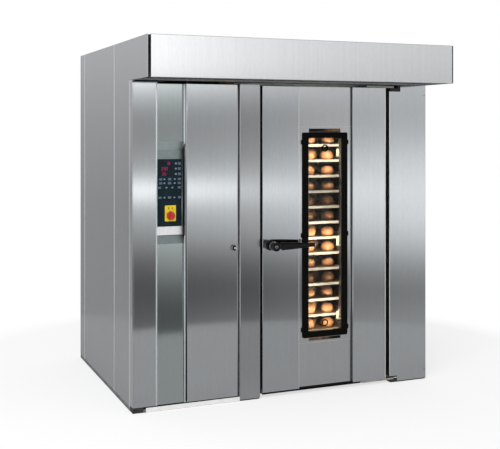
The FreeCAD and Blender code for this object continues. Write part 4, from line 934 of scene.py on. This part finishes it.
# Chamber steel is browned by heat, and darker still as painted shade deep in the chamber.
chamber_steel = surface("chamber_steel", (0.07, 0.052, 0.038), (0.17, 0.14, 0.11), grain=0.25,
                        gloss=(0.32, 0.5), dent=0.0002, Metallic=1.0)
wool = surface("mineral_wool", (0.3, 0.16, 0.06), (0.46, 0.27, 0.1), grain=0.015, gloss=(0.8, 0.95),
               dent=0.002)
coat(chamber_steel, "chamber_walls", "steam_cascade")
coat(wool, "insulation_slabs")


# Heat plant in the technical bay: heat exchanger, burner, flue and circulation fan.
# Welded heat-tinted steel, with the burner and motor in grey machine enamel.

hot_steel = surface("heat_exchanger_steel", (0.2, 0.17, 0.15), (0.4, 0.36, 0.33), grain=0.2,
                    gloss=(0.35, 0.55), dent=0.0003, Metallic=1.0)
enamel = surface("machine_enamel", (0.1, 0.14, 0.18), (0.15, 0.2, 0.25), grain=0.04, gloss=(0.28, 0.42),
                 dent=0.0004)
coat(hot_steel, "heat_exchanger")
dress("burner", enamel, edge=0.003)
coat(inner_steel, "flue_pipe")
coat(galvanised, "fan_housing", "fan_wheel")
dress("fan_motor", enamel, edge=0.003)


# Rack and its drive: gear motor on the ceiling, hook, rack of posts and rails, trays, casters.
# Stainless tube and angle welded up, zinc plated forks and dark tyres. The trays are aluminium, bare at
# the rim, and brown on their upward faces from a baked-on coat and painted shade between the rolls.

tray_aluminium = surface("tray_aluminium", (0.23, 0.225, 0.22), (0.36, 0.355, 0.35), grain=0.07,
                         gloss=(0.38, 0.52), dent=0.0002, Metallic=0.4)
# Upward tray faces turn brown: a baked-on coat, and painted shade between the rolls.
baked_brown_and_shade = (0.07, 0.042, 0.026, 1.0)
tray_tree = tray_aluminium.node_tree
tray_normal = add_node(tray_tree, "NewGeometry", {}).outputs["True Normal"]
cover(tray_tree, ranged(tray_tree, part_of(tray_tree, tray_normal, "Z"), 0.6, 0.9), baked_brown_and_shade)
tyre = surface("wheel_tyre", (0.03, 0.03, 0.03), (0.055, 0.053, 0.05), grain=0.01, gloss=(0.5, 0.7),
               dent=0.0003)
tray_low, tray_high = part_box("trays")
rack_x = (tray_low.x + tray_high.x) / 2
rack_y = (tray_low.y + tray_high.y) / 2
drive = dress("rack_drive", enamel, edge=0.002)
drive_bore_r = 0.0209
for vertex in drive.data.vertices:
    from_axis = Vector((vertex.co.x - rack_x, vertex.co.y - rack_y, 0.0))
    if from_axis.length < drive_bore_r:
        vertex.co += from_axis.normalized() * (drive_bore_r - from_axis.length)
coat(inner_steel, "rack_hook", "rack_frame")
coat(tray_aluminium, "trays")
for side in ("left", "right"):
    dress("swivel_fork_" + side, galvanised, edge=0.001)
    coat(tyre, "front_wheel_" + side, "rear_wheel_" + side)


# Bread rolls on the trays, in staggered rows that end where the tray does.
# Round crusty rolls, browned on top, paler where they meet the tray and split open in places.

crust_pale = (0.19, 0.083, 0.031, 1.0)
crust_brown = (0.105, 0.034, 0.012, 1.0)
crumb = (0.3, 0.155, 0.06, 1.0)
crust = bpy.data.materials.new("bread_crust")
crust.use_nodes = True
crust_tree = crust.node_tree
crust_marks = add_node(crust_tree, "Group", {"Grain": 0.02, "Stretch": (1.0, 1.0, 1.0)}, node_tree=patches)
crust_normal = add_node(crust_tree, "NewGeometry", {}).outputs["Normal"]
crust_top = ranged(crust_tree, part_of(crust_tree, crust_normal, "Z"), -0.3, 0.8)
crust_baked = maths(crust_tree, "MULTIPLY", crust_top, crust_marks.outputs["Patch"])
crust_split = add_node(crust_tree, "TexVoronoi", {"Vector": place_on(crust_tree), "Scale": 24.0},
                       feature="DISTANCE_TO_EDGE")
crust_relief = add_node(crust_tree, "Bump", {"Height": crust_marks.outputs["Fine"], "Strength": 0.5,
                                             "Distance": 0.0015})
paint(crust_tree, Base_Color=mixed(crust_tree, crust_baked, crust_pale, crust_brown),
      Roughness=ranged(crust_tree, crust_marks.outputs["Fine"], low=0.45, high=0.7),
      Normal=crust_relief.outputs[0])
cover(crust_tree, ranged(crust_tree, crust_split.outputs["Distance"], 0.05, 0.0), crumb)

chance = random.Random(7)
roll_r = 0.05
roll_outline = [(0.0, 0.0), (0.0, 0.8), (0.013, 0.96), (0.026, 1.0), (0.041, 0.94), (0.054, 0.76),
                (0.063, 0.48), (0.068, 0.0)]
roll_steps = 14
roll_crease = 80
roll_pitch_x = 0.16
roll_pitch_y = 0.128
roll_drift = 0.005
roll_lean = 0.05
roll_rows = 7
rolls_across = 4
front_roll = 0.198
rim_clear = 0.006
roll_reach = (tray_high.x - tray_low.x) / 2 - roll_r - rim_clear
tray_top = 0.2475
tray_pitch = 0.1125
tray_count = 15
work = bmesh.new()
for tray in range(tray_count):
    for row in range(roll_rows):
        for column in range(rolls_across):
            across = front_roll + roll_pitch_x * ((row % 2) / 2 - column)
            across += chance.uniform(-roll_drift, roll_drift)
            if abs(across) > roll_reach:
                continue
            y = rack_y + (row - roll_rows // 2) * roll_pitch_y + chance.uniform(-roll_drift, roll_drift)
            size = chance.uniform(0.94, 1.05)
            outline = [(reach * size * chance.uniform(0.97, 1.03), roll_r * width * size)
                       for reach, width in roll_outline]
            lean = (chance.uniform(-roll_lean, roll_lean), chance.uniform(-roll_lean, roll_lean), 1.0)
            centre = Vector((rack_x + across, y, tray_top + tray * tray_pitch))
            turned(work, outline, centre, facing(Vector(lean).normalized()), roll_steps)
show(mesh_of(work, "bread_rolls", roll_crease), crust, "rotor")


# Roof: a sunk galvanised sheet with the flue's mouth, and brass fittings for water, gas and cable.
# The sheet is screwed to the cladding along its front and back edges.

brass = surface("brass_fittings", (0.48, 0.34, 0.12), (0.62, 0.46, 0.2), grain=0.02, gloss=(0.22, 0.36),
                dent=0.0001, Metallic=1.0)
coat(galvanised, "roof_panel")
dress("supply_fittings", brass, edge=0.001)
roof_low, roof_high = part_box("roof_panel")
roof_screws = 9
roof_places = []
for x in screw_line(roof_low.x, roof_high.x, roof_screws):
    for y in (roof_low.y + screw_inset, roof_high.y - screw_inset):
        roof_places.append((x, y, roof_high.z - bond))
screw_heads("roof_screws", roof_places, (0.0, 0.0, 1.0))


# Chamber light: what the door's three lamps throw on the rolls and trays behind the window.
# A small warm light stands behind each lamp, and a tall soft one at the window fills the rack's front.

lamp_low, lamp_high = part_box("lamp_bulbs")
lamp_colour = (1.0, 0.82, 0.6)
lamp_watts = 12.0
lamp_size = 0.02
lamp_x = (lamp_low.x + lamp_high.x) / 2 - 0.01
lamp_y = -0.45
lamp_heights = (0.507, 1.024, 1.654)
fill_place = (0.29, -0.5, 1.1)
fill_size = (0.25, 1.5)
fill_watts = 0.8


def add_light(name, kind, place, watts):
    light = bpy.data.objects.new(name, bpy.data.lights.new(name, kind))
    light.data.energy = watts
    light.location = place
    scene.collection.objects.link(light)
    return light


def warm_light(name, kind, place, watts):
    light = add_light(name, kind, place, watts)
    light.data.color = lamp_colour
    light.visible_camera = False
    light.visible_transmission = False
    return light


for index, z in enumerate(lamp_heights):
    lamp = warm_light("chamber_lamp_%d" % index, "POINT", (lamp_x, lamp_y, z), lamp_watts)
    lamp.data.shadow_soft_size = lamp_size
fill = warm_light("chamber_fill", "AREA", fill_place, fill_watts)
fill.data.shape = "RECTANGLE"
fill.data.size, fill.data.size_y = fill_size
fill.rotation_euler = (math.radians(90), 0.0, 0.0)


# Studio: a round pale floor that fades into white, and soft light from all round.
# Bright and dark bands in front of the oven give the brushed steel its broad stripes.

floor_r = 3.0
floor_work = bmesh.new()
bmesh.ops.create_circle(floor_work, cap_ends=True, radius=floor_r, segments=96)
floor_mesh = bpy.data.meshes.new("floor")
floor_work.to_mesh(floor_mesh)
floor_work.free()
floor_paint = bpy.data.materials.new("floor_paint")
floor_paint.use_nodes = True
floor_tree = floor_paint.node_tree
floor_shader = shader_of(floor_tree)
floor_shader.inputs["Base Color"].default_value = (0.95, 0.95, 0.95, 1.0)
floor_shader.inputs["Roughness"].default_value = 0.9
floor_shader.inputs["Specular IOR Level"].default_value = 0.0
floor_far = add_node(floor_tree, "VectorMath", {0: place_on(floor_tree)}, operation="LENGTH")
floor_fade = ranged(floor_tree, floor_far.outputs["Value"], 1.7, 2.8, interpolation_type="SMOOTHSTEP")
floor_ray = add_node(floor_tree, "LightPath", {})
floor_white = add_node(floor_tree, "Emission", {"Color": (1.0, 1.0, 1.0, 1.0)})
floor_grey = add_node(floor_tree, "Emission", {"Color": (0.45, 0.45, 0.45, 1.0)})
floor_pale = maths(floor_tree, "MULTIPLY", floor_ray.outputs["Is Camera Ray"], 0.65)
floor_share = maths(floor_tree, "MAXIMUM", floor_pale, floor_fade)
floor_edge = add_node(floor_tree, "MixShader", {0: floor_share, 1: floor_shader.outputs[0],
                                                2: floor_white.outputs[0]})
floor_seen = add_node(floor_tree, "MixShader", {0: floor_ray.outputs["Is Glossy Ray"],
                                                1: floor_edge.outputs[0], 2: floor_grey.outputs[0]})
floor_tree.links.new(floor_seen.outputs[0], floor_tree.nodes["Material Output"].inputs["Surface"])
floor_mesh.materials.append(floor_paint)
floor = bpy.data.objects.new("floor", floor_mesh)
scene.collection.objects.link(floor)

studio = bpy.data.worlds.new("studio")
scene.world = studio
studio.use_nodes = True
sky = studio.node_tree
sky_way = add_node(sky, "TexCoord", {}).outputs["Generated"]
sky_parts = add_node(sky, "SeparateXYZ", {"Vector": sky_way})
sky_range = math.radians(25)
sky_level = ranged(sky, maths(sky, "ARCSINE", sky_parts.outputs["Z"]), -sky_range, sky_range)
sky_ahead = maths(sky, "MULTIPLY", sky_parts.outputs["Y"], -1.0)
sky_turn = maths(sky, "ARCTAN2", sky_parts.outputs["X"], sky_ahead)


def sky_bands(levels):
    ramp = add_node(sky, "ValToRGB", {"Fac": sky_level})
    stops = ramp.color_ramp.elements
    while len(stops) > 1:
        stops.remove(stops[-1])
    first = True
    for degrees, level in levels:
        position = (math.radians(degrees) + sky_range) / (2 * sky_range)
        stop = stops[0] if first else stops.new(position)
        stop.position = position
        stop.color = (level, level, level, 1.0)
        first = False
    return ramp.outputs["Color"]


def sky_blend(start, end, before, after):
    return mixed(sky, ranged(sky, sky_turn, math.radians(start), math.radians(end)), before, after)


left_bands = sky_bands([(-12.5, 0.12), (-9.8, 0.08), (-8.3, 0.14), (-6.6, 0.4), (-5.2, 0.6), (-4.6, 1.1),
                        (-3.9, 2.3), (-3.3, 1.1), (-2.7, 0.5), (-0.6, 0.36), (0.9, 0.4), (2.2, 0.9),
                        (3.2, 2.0), (8.0, 2.0), (16.0, 0.5), (25.0, 0.36)])
middle_bands = sky_bands([(-12.5, 0.3), (-11.3, 0.16), (-9.9, 0.1), (-8.4, 0.2), (-6.6, 0.58), (-5.0, 0.82),
                          (-3.9, 1.35), (-3.0, 0.8), (-1.7, 0.5), (0.4, 0.4), (1.4, 0.5), (2.4, 0.85),
                          (4.0, 1.06), (16.0, 0.5), (25.0, 0.36)])
right_bands = sky_bands([(-12.5, 0.44), (-9.9, 0.3), (-8.6, 0.45), (-7.1, 0.84), (-5.6, 1.12), (-3.8, 1.18),
                         (-2.2, 1.08), (-0.6, 0.8), (0.8, 0.68), (3.0, 0.74), (5.0, 0.86), (16.0, 0.5),
                         (25.0, 0.36)])
back_bands = sky_bands([(-15.0, 0.35), (-5.0, 0.37), (0.0, 0.46), (5.0, 0.66), (14.0, 0.7), (25.0, 0.6)])
glow_left = sky_bands([(-25.0, 1.0), (10.0, 1.0), (18.0, 0.4)])
glow_right = sky_bands([(-25.0, 0.8), (10.0, 0.8), (18.0, 0.4)])
sky_banded = sky_blend(22.0, 31.0, sky_blend(15.0, 22.0, left_bands, middle_bands), right_bands)
sky_front = sky_blend(-8.0, 4.0, glow_left, sky_blend(44.0, 58.0, sky_banded, glow_right))
sky_all = mixed(sky, ranged(sky, sky_parts.outputs["Y"], -0.3, 0.3), sky_front, back_bands)
sky_ray = add_node(sky, "LightPath", {})
sky_soft = (0.8, 0.8, 0.8, 1.0)
sky_white = (1.0, 1.0, 1.0, 1.0)
sky_lit = mixed(sky, sky_ray.outputs["Is Glossy Ray"], sky_soft, sky_all)
sky_clear = maths(sky, "MAXIMUM", sky_ray.outputs["Is Camera Ray"], sky_ray.outputs["Is Transmission Ray"])
sky.links.new(mixed(sky, sky_clear, sky_lit, sky_white), sky.nodes["Background"].inputs["Color"])

key_aim = Vector((0.0, 0.0, 1.0))
key = add_light("key_light", "AREA", (-3.2, -4.0, 4.6), watts=160.0)
key.data.size = 3.0
key.rotation_euler = (key_aim - key.location).to_track_quat("-Z", "Y").to_euler()
key.visible_glossy = False


# Camera at the photograph's viewing angle: level, turned to the right, at about eye height.
# Its frame is shifted down, so that the oven's upright edges stay parallel.

camera_data = bpy.data.cameras.new("photo_camera")
camera_data.sensor_width = 36.0
camera_data.lens = 66.1
camera_data.shift_y = -0.195
camera = bpy.data.objects.new("photo_camera", camera_data)
camera.location = (-2.648, -6.318, 1.835)
camera.rotation_euler = (math.radians(90), 0.0, math.radians(-22.48))
scene.collection.objects.link(camera)
scene.camera = camera
scene.view_settings.view_transform = "Standard"
